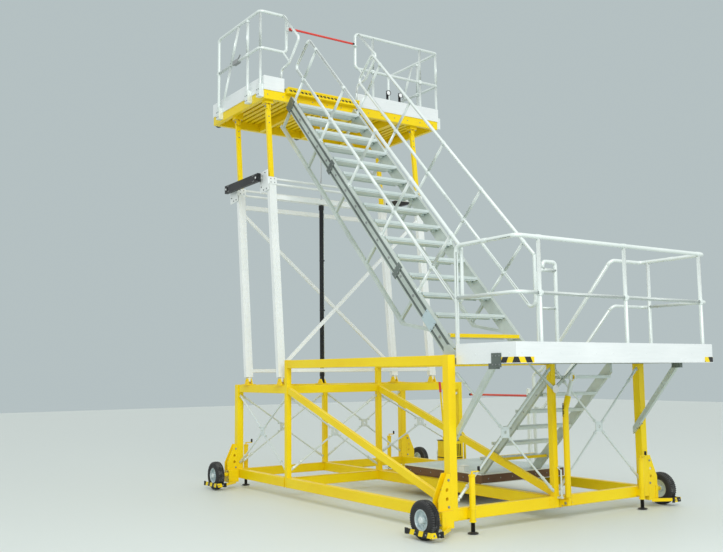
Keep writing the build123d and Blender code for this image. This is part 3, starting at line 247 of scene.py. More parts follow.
finishes = {
    "yellowPaint": {**framePaint, "wearAmount": 0.6},
    "bracketPaint": {**framePaint, "wearAmount": 0.7, "dust": 0.14, "bands": bracketBands},
    "warningTape": {**safetyYellow, "rough": (0.35, 0.50), "wear": (0.35, 0.30, 0.22), "wearAmount": 0.7,
                    "dust": 0.15, "bands": {"Pitch": 0.15, "Slant": (1.0, 1.0, 0.5)}},
    "whiteRail": {"colour": (0.86, 0.91, 0.89), "shade": (0.70, 0.77, 0.74), "rough": (0.28, 0.42),
                  "metal": 0.2, "wear": (0.40, 0.42, 0.42), "dust": 0.12, "grain": 120.0},
    "mastWhite": {"colour": (0.92, 0.94, 0.93), "shade": (0.80, 0.84, 0.82), "rough": (0.30, 0.45),
                  "metal": 0.1, "wear": (0.42, 0.44, 0.43), "wearAmount": 0.6, "grain": 80.0,
                  "stretch": (1.0, 1.0, 0.08)},
    "boardWhite": {"colour": (0.90, 0.93, 0.93), "shade": (0.78, 0.82, 0.82), "rough": (0.25, 0.40),
                   "metal": 0.15, "wear": (0.45, 0.47, 0.47), "grain": 70.0, "stretch": (0.06, 1.0, 1.0)},
    "stairAlu": {"colour": (0.64, 0.71, 0.66), "shade": (0.44, 0.50, 0.46), "rough": (0.26, 0.44),
                 "metal": 0.45, "wear": (0.75, 0.78, 0.76), "dust": 0.15, "bump": 0.05, "grain": 150.0,
                 "stretch": (1.0, 0.08, 0.08)},
    "treadAlu": {"colour": (0.78, 0.86, 0.84), "shade": (0.58, 0.66, 0.64), "rough": (0.32, 0.50),
                 "metal": 0.35, "wear": (0.85, 0.88, 0.88), "dust": 0.2, "bump": 0.25, "grain": 120.0,
                 "ribs": {"Pitch": 0.018, "Across": (0.0, 1.0, 0.0)}},
    "deckAlu": {"colour": (0.58, 0.63, 0.60), "shade": (0.42, 0.47, 0.44), "rough": (0.38, 0.55),
                "metal": 0.5, "wear": (0.75, 0.77, 0.76), "wearAmount": 0.4, "dust": 0.3, "bump": 0.3,
                "grain": 110.0, "ribs": {"Pitch": 0.03, "Across": (1.0, 0.0, 0.0)}},
    # dark aluminium for plates, and also the painted shade in the main stair's grooves
    "darkAluAndGrooveShade": {"colour": (0.20, 0.24, 0.22), "shade": (0.10, 0.12, 0.11), "rough": (0.35, 0.50),
                  "metal": 0.5, "wear": (0.45, 0.48, 0.46), "bump": 0.04, "grain": 120.0,
                  "stretch": (1.0, 0.08, 0.08)},
    "bluePlate": {"colour": (0.56, 0.68, 0.70), "shade": (0.44, 0.56, 0.60), "rough": (0.30, 0.42),
                  "metal": 0.3, "wear": (0.7, 0.75, 0.76), "wearAmount": 0.4, "dust": 0.08},
    "galvanised": {"colour": (0.80, 0.87, 0.86), "shade": (0.62, 0.69, 0.68), "rough": (0.30, 0.48),
                   "metal": 0.3, "wear": (0.35, 0.33, 0.30), "wearAmount": 0.4, "bump": 0.06,
                   "grain": 45.0},
    "boltSteel": {"colour": (0.46, 0.48, 0.48), "shade": (0.26, 0.27, 0.27), "rough": (0.28, 0.45),
                  "metal": 0.8, "wear": (0.20, 0.15, 0.11), "grain": 200.0},
    # black paint, and also the painted shade in the platform sill's slots
    "blackPaintAndSlotShade": {"colour": (0.012, 0.015, 0.019), "shade": (0.006, 0.007, 0.009), "rough": (0.36, 0.52),
                   "specular": 0.35, "wear": (0.22, 0.20, 0.18), "wearAmount": 0.7, "dust": 0.12,
                   "bump": 0.04},
    "screwBlack": {"colour": (0.020, 0.021, 0.022), "shade": (0.010, 0.010, 0.011), "rough": (0.28, 0.42),
                   "metal": 0.4, "wear": (0.30, 0.28, 0.26), "wearAmount": 0.7, "bump": 0.8,
                   "ribs": {"Pitch": 0.007, "Across": (0.0, 0.0, 1.0)}},
    "redPaint": {"colour": (0.84, 0.055, 0.035), "shade": (0.66, 0.035, 0.022), "rough": (0.28, 0.42),
                 "coat": 0.3, "wear": (0.55, 0.50, 0.46), "dust": 0.08},
    "chromeRod": {"colour": (0.74, 0.76, 0.78), "shade": (0.62, 0.64, 0.66), "rough": (0.06, 0.14),
                  "metal": 1.0, "wear": (0.5, 0.5, 0.5), "wearAmount": 0.2, "dust": 0.04, "bump": 0.01,
                  "grain": 220.0},
    "tyreRubber": {"colour": (0.030, 0.031, 0.033), "shade": (0.014, 0.014, 0.015), "rough": (0.62, 0.82),
                   "wear": (0.30, 0.31, 0.31), "wearAmount": 1.0, "dust": 0.3, "bump": 0.12,
                   "grain": 160.0},
    "rimGrey": {"colour": (0.74, 0.84, 0.85), "shade": (0.56, 0.65, 0.67), "rough": (0.24, 0.40),
                "metal": 0.3, "wear": (0.25, 0.22, 0.20), "wearAmount": 0.7, "dust": 0.2, "bump": 0.05},
    "bumperRubber": {"colour": (0.085, 0.095, 0.10), "shade": (0.05, 0.055, 0.06), "rough": (0.55, 0.75),
                     "wear": (0.16, 0.16, 0.16), "wearAmount": 0.6, "dust": 0.2, "bump": 0.1,
                     "grain": 140.0},
    # dark brown below the entry deck's top level, pale above it
    "entryDeckDarkBelowTop": {"colour": (0.20, 0.10, 0.05), "shade": (0.10, 0.05, 0.025), "rough": (0.50, 0.70),
                 "wear": (0.42, 0.30, 0.18), "wearAmount": 0.6, "dust": 0.15, "bump": 0.15, "grain": 26.0,
                 "stretch": (0.4, 0.4, 9.0), "above": {"Level": 0.3602}, "aboveColour": (0.80, 0.85, 0.82)},
    # below its top the upper deck is painted shade, a dark yellow-brown; its top takes aboveColour
    "upperDeckShadedBelowTop": {"colour": (0.07, 0.06, 0.02), "shade": (0.04, 0.035, 0.015), "rough": (0.40, 0.60),
                  "metal": 0.2, "wear": (0.5, 0.5, 0.48), "wearAmount": 0.4, "dust": 0.2, "bump": 0.2,
                  "grain": 110.0, "above": {"Level": 5.389}, "aboveColour": (0.58, 0.63, 0.60)},
    "stickerWhite": {"colour": (0.95, 0.96, 0.96), "shade": (0.86, 0.87, 0.87), "rough": (0.35, 0.50),
                     "wear": (0.5, 0.5, 0.48), "wearAmount": 0.4, "dust": 0.08, "bump": 0.02,
                     "grain": 60.0},
}

surface = {
    "bandBlack": (0.015, 0.015, 0.016),
    "dustGrey": (0.50, 0.49, 0.45),
    "dustRough": 0.3,
    "ribHeight": 4.0,
    "bumpDeep": 0.004,
    "coatRough": 0.2,
}


def mixColour(tree, a, b, factor):
    node = tree.nodes.new("ShaderNodeMix")
    node.data_type = "RGBA"
    plug(tree, factor, node.inputs[0])
    for value, socket in ((a, node.inputs[6]), (b, node.inputs[7])):
        plug(tree, (*value, 1.0) if isinstance(value, tuple) else value, socket)
    return node.outputs[2]


def useGroup(tree, name, values):
    node = tree.nodes.new("ShaderNodeGroup")
    node.node_tree = bpy.data.node_groups[name]
    for label, value in values.items():
        node.inputs[label].default_value = value
    return node.outputs


def makeFinish(name, s):
    look = {**usualLook, **finishes[name]}
    material = bpy.data.materials.new(name)
    material.use_nodes = True
    tree = material.node_tree
    shader = tree.nodes["Principled BSDF"]
    shader.inputs["Metallic"].default_value = look["metal"]
    shader.inputs["Coat Weight"].default_value = look["coat"]
    shader.inputs["Coat Roughness"].default_value = s["coatRough"]
    shader.inputs["Specular IOR Level"].default_value = look["specular"]
    grain = useGroup(tree, "fineGrain", {"Scale": look["grain"], "Stretch": look["stretch"]})
    colour = mixColour(tree, look["colour"], look["shade"], grain["Shade"])
    # below the level the look's own colour stays: painted shade under the upper deck, dark brown on the
    # entry deck
    if "above" in look:
        above = useGroup(tree, "abovePart", look["above"])["Mask"]
        colour = mixColour(tree, colour, look["aboveColour"], above)
    if "bands" in look:
        bands = useGroup(tree, "warningBands", look["bands"])["Mask"]
        colour = mixColour(tree, colour, s["bandBlack"], bands)
    worn = useGroup(tree, "wornEdges", {"Amount": look["wearAmount"]})["Mask"]
    colour = mixColour(tree, colour, look["wear"], worn)
    dust = useGroup(tree, "settledDust", {"Amount": look["dust"]})["Mask"]
    tree.links.new(mixColour(tree, colour, s["dustGrey"], dust), shader.inputs["Base Color"])
    low, high = look["rough"]
    rough = calc(tree, "ADD", times(tree, grain["Shade"], high - low), low)
    rough = calc(tree, "ADD", rough, times(tree, dust, s["dustRough"]), True)
    tree.links.new(rough, shader.inputs["Roughness"])
    height = grain["Height"]
    if "ribs" in look:
        ribs = useGroup(tree, "rolledRibs", look["ribs"])["Height"]
        height = calc(tree, "ADD", height, times(tree, ribs, s["ribHeight"]))
    bump = tree.nodes.new("ShaderNodeBump")
    bump.inputs["Strength"].default_value = look["bump"]
    bump.inputs["Distance"].default_value = s["bumpDeep"]
    tree.links.new(height, bump.inputs["Height"])
    tree.links.new(bump.outputs["Normal"], shader.inputs["Normal"])
    return material


finish = {name: makeFinish(name, surface) for name in finishes}
print("finishes made:", len(finish))


# mesh tools, all in drawing millimetres

up = (0, 0, 1)


def frameOn(along, over, origin):
    # a leaning frame that keeps the drawing's x, with its own y along and its own z over
    place = Matrix((Vector((1, 0, 0)), Vector(along), Vector(over))).transposed().to_4x4()
    place.translation = Vector(origin)
    return place


def block(bm, corner, opposite, place=None):
    lo = [min(a, b) for a, b in zip(corner, opposite)]
    hi = [max(a, b) for a, b in zip(corner, opposite)]
    corners = [Vector((x, y, z)) for x in (lo[0], hi[0]) for y in (lo[1], hi[1]) for z in (lo[2], hi[2])]
    verts = [bm.verts.new(at(*(place @ c if place else c))) for c in corners]
    for face in ((0, 1, 3, 2), (4, 6, 7, 5), (0, 4, 5, 1), (2, 3, 7, 6), (0, 2, 6, 4), (1, 5, 7, 3)):
        bm.faces.new([verts[i] for i in face])


def around(k, count):
    return 2 * math.pi * k / count


def turned(bm, profile, place, axis, sides=20):
    # profile: pairs of distance along the axis and radius, with radius 0 where an end closes
    spin = Vector(axis).to_track_quat("Z", "Y").to_matrix()
    rings = []
    for along, radius in profile:
        angles = [around(k, sides) for k in range(sides if radius else 1)]
        points = [Vector((radius * math.cos(a), radius * math.sin(a), along)) for a in angles]
        rings.append([bm.verts.new(at(*(Vector(place) + spin @ p))) for p in points])
    for r, s in zip(rings, rings[1:]):
        for k in range(sides):
            j = (k + 1) % sides
            loop = [r[k % len(r)], r[j % len(r)], s[j % len(s)], s[k % len(s)]]
            unique = list(dict.fromkeys(loop))
            if len(unique) > 2:
                bm.faces.new(unique)


def disc(bm, place, axis, radius, high, sides=20):
    turned(bm, [(0, 0), (0, radius), (high, radius), (high, 0)], place, axis, sides)


def knob(bm, place, axis, radius, high, bevel, sides=20):
    # a disc whose outer rim is cut back by bevel along the axis and across it
    profile = [(0, 0), (0, radius), (high - bevel[0], radius), (high, radius - bevel[1]), (high, 0)]
    turned(bm, profile, place, axis, sides)


def bolt(bm, place, axis, size):
    # washer, six-sided head and a rounded thread end
    disc(bm, place, axis, size, 0.22 * size, 14)
    turned(bm, [(0.2 * size, 0), (0.2 * size, 0.78 * size), (0.75 * size, 0.78 * size),
                (0.86 * size, 0.62 * size), (0.86 * size, 0)], place, axis, 6)


def tube(bm, path, radius, sides=10, closed=False):
    # a round bar along points, mitred at its turns
    points = [Vector(p) for p in path]
    count = len(points)
    rings = []
    side = None
    for i, p in enumerate(points):
        way = Vector((0, 0, 0))
        if closed or i > 0:
            way += (p - points[i - 1]).normalized()
        if closed or i < count - 1:
            way += (points[(i + 1) % count] - p).normalized()
        way.normalize()
        if side is None:
            side = way.orthogonal().normalized()
        side = (side - way * side.dot(way)).normalized()
        over = way.cross(side)
        turns = [side * math.cos(around(k, sides)) + over * math.sin(around(k, sides)) for k in range(sides)]
        rings.append([bm.verts.new(at(*(p + radius * t))) for t in turns])
    for r, s in zip(rings, rings[1:] + rings[:1] if closed else rings[1:]):
        for k in range(sides):
            j = (k + 1) % sides
            bm.faces.new([r[k], r[j], s[j], s[k]])
    if not closed:
        bm.faces.new(rings[0])
        bm.faces.new(rings[-1])


def footFlange(bm, x, y, z, radius=38.0, post=20.0):
    # foot of a rail post with its four screws
    profile = [(0, 0), (0, radius), (7, radius), (7, post + 7), (26, post + 4), (26, post - 1)]
    turned(bm, profile, (x, y, z), up, 24)
    for k in range(4):
        a = math.pi / 4 + k * math.pi / 2
        bolt(bm, (x + 29 * math.cos(a), y + 29 * math.sin(a), z + 7), up, 6)


def sleeve(bm, place, axis, radius, long):
    # short tube where a rail passes a post
    half = long / 2
    turned(bm, [(-half, radius - 4), (-half, radius), (half, radius), (half, radius - 4)], place, axis, 22)


def roundEdges(ob, width, sharpest):
    edge = ob.modifiers.new("roundedEdges", "BEVEL")
    edge.width = width / 1000
    edge.segments = 2
    edge.limit_method = "ANGLE"
    edge.angle_limit = math.radians(sharpest)
    edge.harden_normals = True


def makePiece(name, bm, body, finishName, width=0.8):
    # width is that of the rounded edges, 0 for none
    bmesh.ops.recalc_face_normals(bm, faces=bm.faces)
    mesh = bpy.data.meshes.new(name)
    bm.to_mesh(mesh)
    bm.free()
    mesh.materials.append(finish[finishName])
    mesh.shade_smooth()
    mesh.set_sharp_from_angle(angle=math.radians(38))
    piece = bpy.data.objects.new(name, mesh)
    scene.collection.objects.link(piece)
    if width:
        roundEdges(piece, width, 50)
    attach(piece, body)
    return piece


# finish and width of rounded edges for the CAD nodes, taken by how a name starts or ends

nodeLooks = {
    "base_posts": ("yellowPaint", 4.0),
    "base_beams": ("yellowPaint", 4.0),
    "base_diagonals": ("yellowPaint", 4.0),
    "base_tie_rods": ("galvanised", 1.0),
    "base_lugs": ("yellowPaint", 1.5),
    "wheel_brackets": ("bracketPaint", 2.0),
    "jack_housings": ("yellowPaint", 1.5),
    "landing_deck": ("deckAlu", 2.0),
    "landing_toe_boards": ("boardWhite", 2.0),
    "landing_struts": ("stairAlu", 2.0),
    "landing_guard_rails": ("whiteRail", 0.0),
    "entry_deck": ("entryDeckDarkBelowTop", 2.0),
    "entry_drop_bar": ("redPaint", 1.0),
    "lower_stair": ("stairAlu", 2.0),
    "pump_unit": ("yellowPaint", 2.0),
    "tower_front_row": ("mastWhite", 0.0),
    "tower_back_row": ("mastWhite", 0.0),
    "tower_link_beams": ("blackPaintAndSlotShade", 4.0),
    "tower_front_inner_legs": ("yellowPaint", 3.0),
    "tower_back_inner_legs": ("yellowPaint", 3.0),
    "lift_cylinder": ("blackPaintAndSlotShade", 2.0),
    "lift_ram": ("chromeRod", 1.0),
    "platform_frame": ("yellowPaint", 2.0),
    "platform_deck": ("upperDeckShadedBelowTop", 2.0),
    "platform_toe_boards": ("boardWhite", 2.0),
    "platform_bumpers": ("bumperRubber", 6.0),
    "platform_guard_rails": ("whiteRail", 0.0),
    "platform_drop_bar": ("redPaint", 1.0),
    "stair_sides": ("stairAlu", 1.5),
    "stair_hand_rails": ("whiteRail", 0.0),
    "tow_bar": ("yellowPaint", 1.5),
}


def lookOf(name):
    if name.startswith("stair_tread"):
        return ("treadAlu", 1.5)
    if name.startswith("jack_screw"):
        return ("screwBlack", 1.0)
    if name.endswith("_tyre"):
        return ("tyreRubber", 0.0)
    if name.endswith("_rim"):
        return ("rimGrey", 2.0)
    return nodeLooks[name]


def dressNode(name, node):
    look, width = lookOf(name)
    node.data.materials.clear()
    node.data.materials.append(finish[look])
    join = node.modifiers.new("joinFacets", "WELD")
    join.merge_threshold = 0.00002
    if width:
        flat = node.modifiers.new("mergeFlats", "DECIMATE")
        flat.decimate_type = "DISSOLVE"
        flat.angle_limit = math.radians(1.5)
        roundEdges(node, width, 40)


for nodeName, cadNode in nodes.items():
    dressNode(nodeName, cadNode)
print("nodes dressed:", len(nodes))


# tyres with a grooved tread

tyreShape = {
    "radius": 182.0,
    "half": 54.0,
    "bead": 98.0,
    "lugs": 50,
    "grooveDeep": 9.0,
    "sides": {"front_left": -1, "back_left": -1, "front_right": 1, "back_right": 1},
}


def makeTyre(name, s):
    lo, hi = [Vector(v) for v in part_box("wheel_" + name + "_tyre")]
    middle = (lo + hi) / 2
    r, h, bead, deep = s["radius"], s["half"], s["bead"], s["grooveDeep"]
    wall = [(h - 8, bead), (h - 2, bead + 6), (h - 6, bead + 14), (h, bead + 38), (h, r - 34)]
    shoulder = [(h - 3, r - 22), (h - 9, r - 10), (h - 18, r - 3)]
    tread = [(22, r), (19, r - deep), (13, r - deep), (11, r), (3, r), (2, r - deep)]
    half = wall + shoulder + tread
    profile = half + [(-along, radius) for along, radius in reversed(half)]
    bm = bmesh.new()
    rings = []
    for k in range(s["lugs"] * 4):
        a = around(k, s["lugs"] * 4)
        ring = []
        for along, radius in profile:
            # the shoulders are cut into lugs, set half a lug apart on the two sides
            lug = k % 4 < 2 if along > 0 else k % 4 > 1
            cut = deep * 0.8 if lug and abs(along) > 20 and radius > r - 24 else 0.0
            b = radius - cut
            ring.append(bm.verts.new(middle + Vector((along, b * math.cos(a), b * math.sin(a))) / 1000))
        rings.append(ring)
    for r0, r1 in zip(rings, rings[1:] + rings[:1]):
        for k in range(len(profile)):
            j = (k + 1) % len(profile)
            bm.faces.new([r0[k], r0[j], r1[j], r1[k]])
    piece = makePiece("tyreTread_" + name, bm, "wheel_" + name, "tyreRubber", 0)
    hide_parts("wheel_" + name + "_tyre")


rimTrim = {"nutRing": 60.0, "nuts": 5, "nut": 11.0, "flange": 97.0, "flangeOut": 36.0, "faceOut": 7.0}


def makeRimTrim(name, side, s):
    lo, hi = [Vector(v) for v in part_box("wheel_" + name + "_rim")]
    x, y, z = ((lo + hi) / 2 - zero) * 1000
    face = x + side * s["faceOut"]
    bm = bmesh.new()
    for k in range(s["nuts"]):
        a = around(k, s["nuts"])
        place = (face, y + s["nutRing"] * math.cos(a), z + s["nutRing"] * math.sin(a))
        bolt(bm, place, (side, 0, 0), s["nut"])
    f = s["flange"]
    rolled = [(0, f - 8), (0, f + 1), (5, f + 5), (9, f + 3), (9, f - 5), (4, f - 8), (0, f - 8)]
    for way in (-1, 1):
        turned(bm, rolled, (x + way * s["flangeOut"], y, z), (way, 0, 0), 48)
    # raised rings of the pressed disc
    turned(bm, [(0, 82), (4, 78), (4, 74), (0, 70)], (face, y, z), (side, 0, 0), 40)
    turned(bm, [(0, 48), (5, 45), (5, 40), (0, 37)], (face, y, z), (side, 0, 0), 32)
    makePiece("rimTrim_" + name, bm, "wheel_" + name, "rimGrey")


for wheelName, wheelSide in tyreShape["sides"].items():
    makeTyre(wheelName, tyreShape)
    makeRimTrim(wheelName, wheelSide, rimTrim)
print("wheels dressed")


# base frame: weld beads, caps and gussets, tie ends

baseTrim = {
    "xs": (0.0, 1390.0, 2800.0),
    "ys": (0.0, 3160.0, 4530.0),
    "corner": postHalf,
    "inner": 33.0,
    "bead": 5.0,
    "lowBeam": (130.0, 245.0),
    "midBeam": (1285.0, 1385.0),
    "highBeam": (1600.0, 1700.0),
    "lowHalf": 40.0,
    "gussetZ": (150.0, 225.0),
    "gusset": 70.0,
    "tieAhead": 16.0,
    "tieLow": ((300, 300), (330, 480), (330, 330)),
    "tieHigh": (1560, 1240, 1240),
    "nut": 16.0,
}


def halfAt(i, j, s):
    return s["corner"] if i != 1 and j != 1 else s["inner"]


def beadRound(bm, axis, x, y, wide, heights, radius):
    # a closed bead round the end of a beam that runs along x or y
    low, high = heights
    corners = [(-wide, low), (wide, low), (wide, high), (-wide, high)]
    path = [(x, y + a, z) if axis == "x" else (x + a, y, z) for a, z in corners]
    tube(bm, path, radius, 6, True)


def makeBaseWelds(s):
    bm = bmesh.new()
    for i, x in enumerate(s["xs"]):
        for j, y in enumerate(s["ys"]):
            h = halfAt(i, j, s)
            for way in (1, -1):
                if 0 <= i + way <= 2:
                    beadRound(bm, "x", x + way * max(h, s["lowHalf"]), y, 33, s["lowBeam"], s["bead"])
                    if j > 0:
                        beadRound(bm, "x", x + way * h, y, 30, s["midBeam"], s["bead"])
            for way in (1, -1):
                if 0 <= j + way <= 2:
                    beadRound(bm, "y", x, y + way * h, 40, s["lowBeam"], s["bead"])
                if (i, j, way) in ((0, 0, 1), (0, 1, -1), (1, 1, -1)):
                    beadRound(bm, "y", x, y + way * h, 30, s["highBeam"], s["bead"])
    makePiece("baseWelds", bm, "chassis", "yellowPaint", 0)


def makeBaseCaps(s):
    # sheet caps on the posts that stand free, and small gusset plates in the corners of the low frame
    bm = bmesh.new()
    low, high = s["gussetZ"]
    capped = ((0, 0, "highBeam"), (0, 2, "midBeam"), (2, 2, "midBeam"), (1, 2, "midBeam"), (2, 1, "midBeam"),
              (0, 1, "highBeam"), (1, 1, "highBeam"))
    for i, j, beam in capped:
        x, y, top = s["xs"][i], s["ys"][j], s[beam][1]
        h = halfAt(i, j, s) - 3
        block(bm, (x - h, y - h, top - 0.5), (x + h, y + h, top + 4))
    for i, x in enumerate(s["xs"]):
        for j, y in enumerate(s["ys"]):
            for way in ((1,) if i == 0 else (-1,) if i == 2 else (-1, 1)):
                start = x + way * max(halfAt(i, j, s), s["lowHalf"])
                for side in (-1, 1):
                    block(bm, (start, y + side * 33, low), (start + way * s["gusset"], y + side * 37, high))
    makePiece("baseCaps", bm, "chassis", "yellowPaint")


def tieList(s):
    # start on the first post's face, direction, width and the two heights
    xs, ys = s["xs"], s["ys"]
    lows, highs = s["tieLow"], s["tieHigh"]
    ties = []
    for j, y in enumerate(ys):
        for i in (0, 1):
            start = xs[i] + halfAt(i, j, s)
            wide = xs[i + 1] - halfAt(i + 1, j, s) - start
            face = y - s["tieAhead"] if j == 0 else y
            ties.append((Vector((start, face, 0)), Vector((1, 0, 0)), wide, lows[j][i], highs[j]))
    start = ys[1] + s["inner"]
    wide = ys[2] - s["corner"] - start
    ties.append((Vector((0, start, 0)), Vector((0, 1, 0)), wide, lows[2][0], highs[2]))
    return ties


def makeTieFittings(s):
    bm = bmesh.new()
    for start, way, wide, low, top in tieList(s):
        middle = start + way * wide / 2 + Vector((0, 0, (low + top) / 2))
        across = way.cross(Vector(up))
        for reach in (0, wide):
            for z in (low, top):
                end = start + way * reach + Vector((0, 0, z))
                run = (middle - end).normalized()
                span = (middle - end).length
                # forked end with its bolt, lock nuts of the turnbuckle, nut at the plate
                turned(bm, [(10, 0), (10, 15), (46, 15), (56, 11), (56, 0)], end, run, 12)
                for side in (-1, 1):
                    bolt(bm, end + run * 28 + across * 15 * side, across * side, 11)
                for share in (0.075, 0.225):
                    disc(bm, end + run * (span * share - 11), run, s["nut"] + 3, 22, 6)
                disc(bm, middle - run * 105, run, 17, 18, 6)
        # rolled rim round the plate's hole
        turned(bm, [(-7, 16), (-7, 22), (7, 22), (7, 16), (-7, 16)], middle, across, 28)
        # corner screws of the square plates on either side of the node
        for side in (-1, 1):
            for a in (-1, 1):
                for b in (-1, 1):
                    place = middle + across * 5.6 * side + way * 40 * a + Vector((0, 0, 40 * b))
                    bolt(bm, place, across * side, 6)
    makePiece("tieFittings", bm, "chassis", "galvanised", 0.5)


makeBaseWelds(baseTrim)
makeBaseCaps(baseTrim)
makeTieFittings(baseTrim)
print("base dressed")


# wheel brackets, jacks and the small things by the middle post

bracketTrim = {
    # post, middle of the wheel along y, and side
    "wheels": ((0.0, 0.0, -45.0, -1), (0.0, 4530.0, 4485.0, -1),
               (2800.0, 0.0, 35.0, 1), (2800.0, 4530.0, 4565.0, 1)),
    "axleZ": 182.0,
    "barZ": (42.0, 98.0),
    "barOut": 436.0,
    "barAhead": 200.0,
    "barBehind": 195.0,
    "barIn": 300.0,
    "sideBolts": (-120.0, 40.0),
    "aheadBolts": (350.0, 410.0),
    "postBoltZ": (270.0, 520.0),
    "plateOut": 195.0,
    "plateBolts": ((-30.0, 120.0), (0.0, 224.0)),
    "hubOut": 411.5,
}


def makeBracketTrim(s):
    caps = bmesh.new()
    bolts = bmesh.new()
    hubs = bmesh.new()
    low, high = s["barZ"]
    middle = (low + high) / 2
    for postX, postY, wheelY, side in s["wheels"]:
        out = (side, 0, 0)
        # dark end caps of the striped bar and its bolts
        outer = postX + side * s["barOut"]
        inner = postX + side * s["barIn"]
        behind = wheelY + s["barBehind"]
        ahead = wheelY - s["barAhead"]
        block(caps, (outer - side * 3, behind - 34, low), (outer + side * 11, behind + 3, high))
        block(caps, (inner, ahead - 3, low), (inner + side * 34, ahead + 11, high))
        for dy in s["sideBolts"]:
            bolt(bolts, (outer + side * 8, wheelY + dy, middle), out, 9)
        for dx in s["aheadBolts"]:
            bolt(bolts, (postX + side * dx, ahead, middle), (0, -1, 0), 9)
        # bolts through the bracket's plates and the axle block
        for z in s["postBoltZ"]:
            for way in (-1, 1):
                bolt(bolts, (postX + side * (postHalf + 24), postY + way * postHalf, z), (0, way, 0), 13)
        for dy, z in s["plateBolts"]:
            bolt(bolts, (postX + side * s["plateOut"], wheelY + dy, z), out, 10)
        hub = [(-17, 27), (-17, 32), (0, 32), (6, 26), (9, 0)]
        turned(hubs, hub, (postX + side * s["hubOut"], wheelY, s["axleZ"]), out, 28)
    makePiece("barEndCaps", caps, "chassis", "blackPaintAndSlotShade")
    makePiece("bracketBolts", bolts, "chassis", "boltSteel", 0)
    makePiece("axleCaps", hubs, "chassis", "galvanised", 0)


jackTrim = {
    "places": {"front_left": (190.0, -85.0), "front_right": (2670.0, -85.0), "back_left": (150.0, 4615.0),
               "back_right": (2610.0, 4615.0)},
    "collar": 35.0,
    "collarZ": (112.0, 226.0, 540.0),
    "grip": 13.0,
    "gripOut": 88.0,
    "gripZ": 583.0,
}


def makeJackTrim(s):
    collars = bmesh.new()
    grips = bmesh.new()
    r = s["grip"]
    for name, (x, y) in s["places"].items():
        for z in s["collarZ"]:
            ring = [(0, 29), (0, s["collar"]), (14, s["collar"]), (14, 29), (0, 29)]
            turned(collars, ring, (x, y, z), up, 28)
        handle = [(0, 0), (0, r * 0.7), (8, r), (40, r), (48, r * 0.7), (48, 0)]
        turned(grips, handle, (x + s["gripOut"], y, s["gripZ"]), up, 16)
        # the swivel of the foot rides with the screw
        swivel = bmesh.new()
        turned(swivel, [(14, 19), (14, 40), (18, 36), (21, 24), (21, 19)], (x, y, 0), up, 24)
        makePiece("jackSwivel_" + name, swivel, "jack_" + name, "blackPaintAndSlotShade", 0)
    makePiece("jackCollars", collars, "chassis", "yellowPaint")
    makePiece("jackGrips", grips, "chassis", "blackPaintAndSlotShade", 0)


stayTrim = {"x": 1408.0, "y": -82.0, "foot": 240.0, "head": 520.0, "sticker": (1404.0, -51.2, 1349.0)}


def makeFrontTrim(s):
    # a slim stay with a foot in front of the middle post, and a bare sticker above it
    x, y = s["x"], s["y"]
    bm = bmesh.new()
    tube(bm, [(x, y, s["foot"] + 10), (x, y, s["head"])], 9, 12)
    tube(bm, [(x, y, s["head"] - 10), (x, -34, s["head"] + 20)], 7, 10)
    disc(bm, (x, y, s["foot"]), up, 16, 10, 16)
    block(bm, (x - 16, y - 14, s["foot"] - 14), (x + 16, -33, s["foot"] + 2))
    makePiece("frontStay", bm, "chassis", "galvanised")
    bm = bmesh.new()
    turned(bm, [(0, 0), (0, 44), (1.5, 43), (1.5, 0)], s["sticker"], (0, -1, 0), 36)
    makePiece("bareSticker", bm, "chassis", "stickerWhite", 0)


makeBracketTrim(bracketTrim)
makeJackTrim(jackTrim)
makeFrontTrim(stayTrim)
print("brackets and jacks dressed")


# landing: rail fittings, rivets and lips of its boards, warning tape, ends of its struts

landingTrim = {
    "posts": (420.0, 1620.0, 2840.0),
    "otherPosts": ((138.0, 20.0), (1255.0, 20.0), (1530.0, 20.0)),
    "sides": (138.0, 2944.0),
    "entryPost": (2430.0, 1290.0, 360.0),
    "frontY": -830.0,
    "midUp": 590.0,
    "topUp": 1110.0,
    "boardX": (48.0, 2927.0),
    "boardFront": -882.0,
    "boardZ": (1612.0, 1800.0),
    "rivets": (120.0, 245.0, 12),
    "sideRivets": (-800.0, 230.0, 4),
    "rivetZ": 1705.0,
    "tapeHigh": 56.0,
    "tapeBack": -640.0,
    "tape": 1.6,
    "openings": ((220.0, 1160.0), (1560.0, 2400.0)),
    "backEdge": 60.0,
    "strutX": (45.0, 2715.0),
    "strutWide": 40.0,
}


def makeLandingRails(s):
    top = landingTop
    mid = top + s["midUp"]
    high = top + s["topUp"]
    bm = bmesh.new()
    for x in s["posts"]:
        footFlange(bm, x, s["frontY"], top)
        sleeve(bm, (x, s["frontY"], mid), up, 24, 54)
        sleeve(bm, (x, s["frontY"], mid), (1, 0, 0), 23, 60)
        sleeve(bm, (x, s["frontY"], high), (1, 0, 0), 24.5, 56)
    for x, y in s["otherPosts"]:
        footFlange(bm, x, y, top)
    x, y, z = s["entryPost"]
    footFlange(bm, x, y, z)
    for side in s["sides"]:
        sleeve(bm, (side, -400, high), (0, 1, 0), 24, 60)
    sleeve(bm, (x, y, z + 720), up, 25, 60)
    makePiece("landingRailFittings", bm, "chassis", "whiteRail", 0)


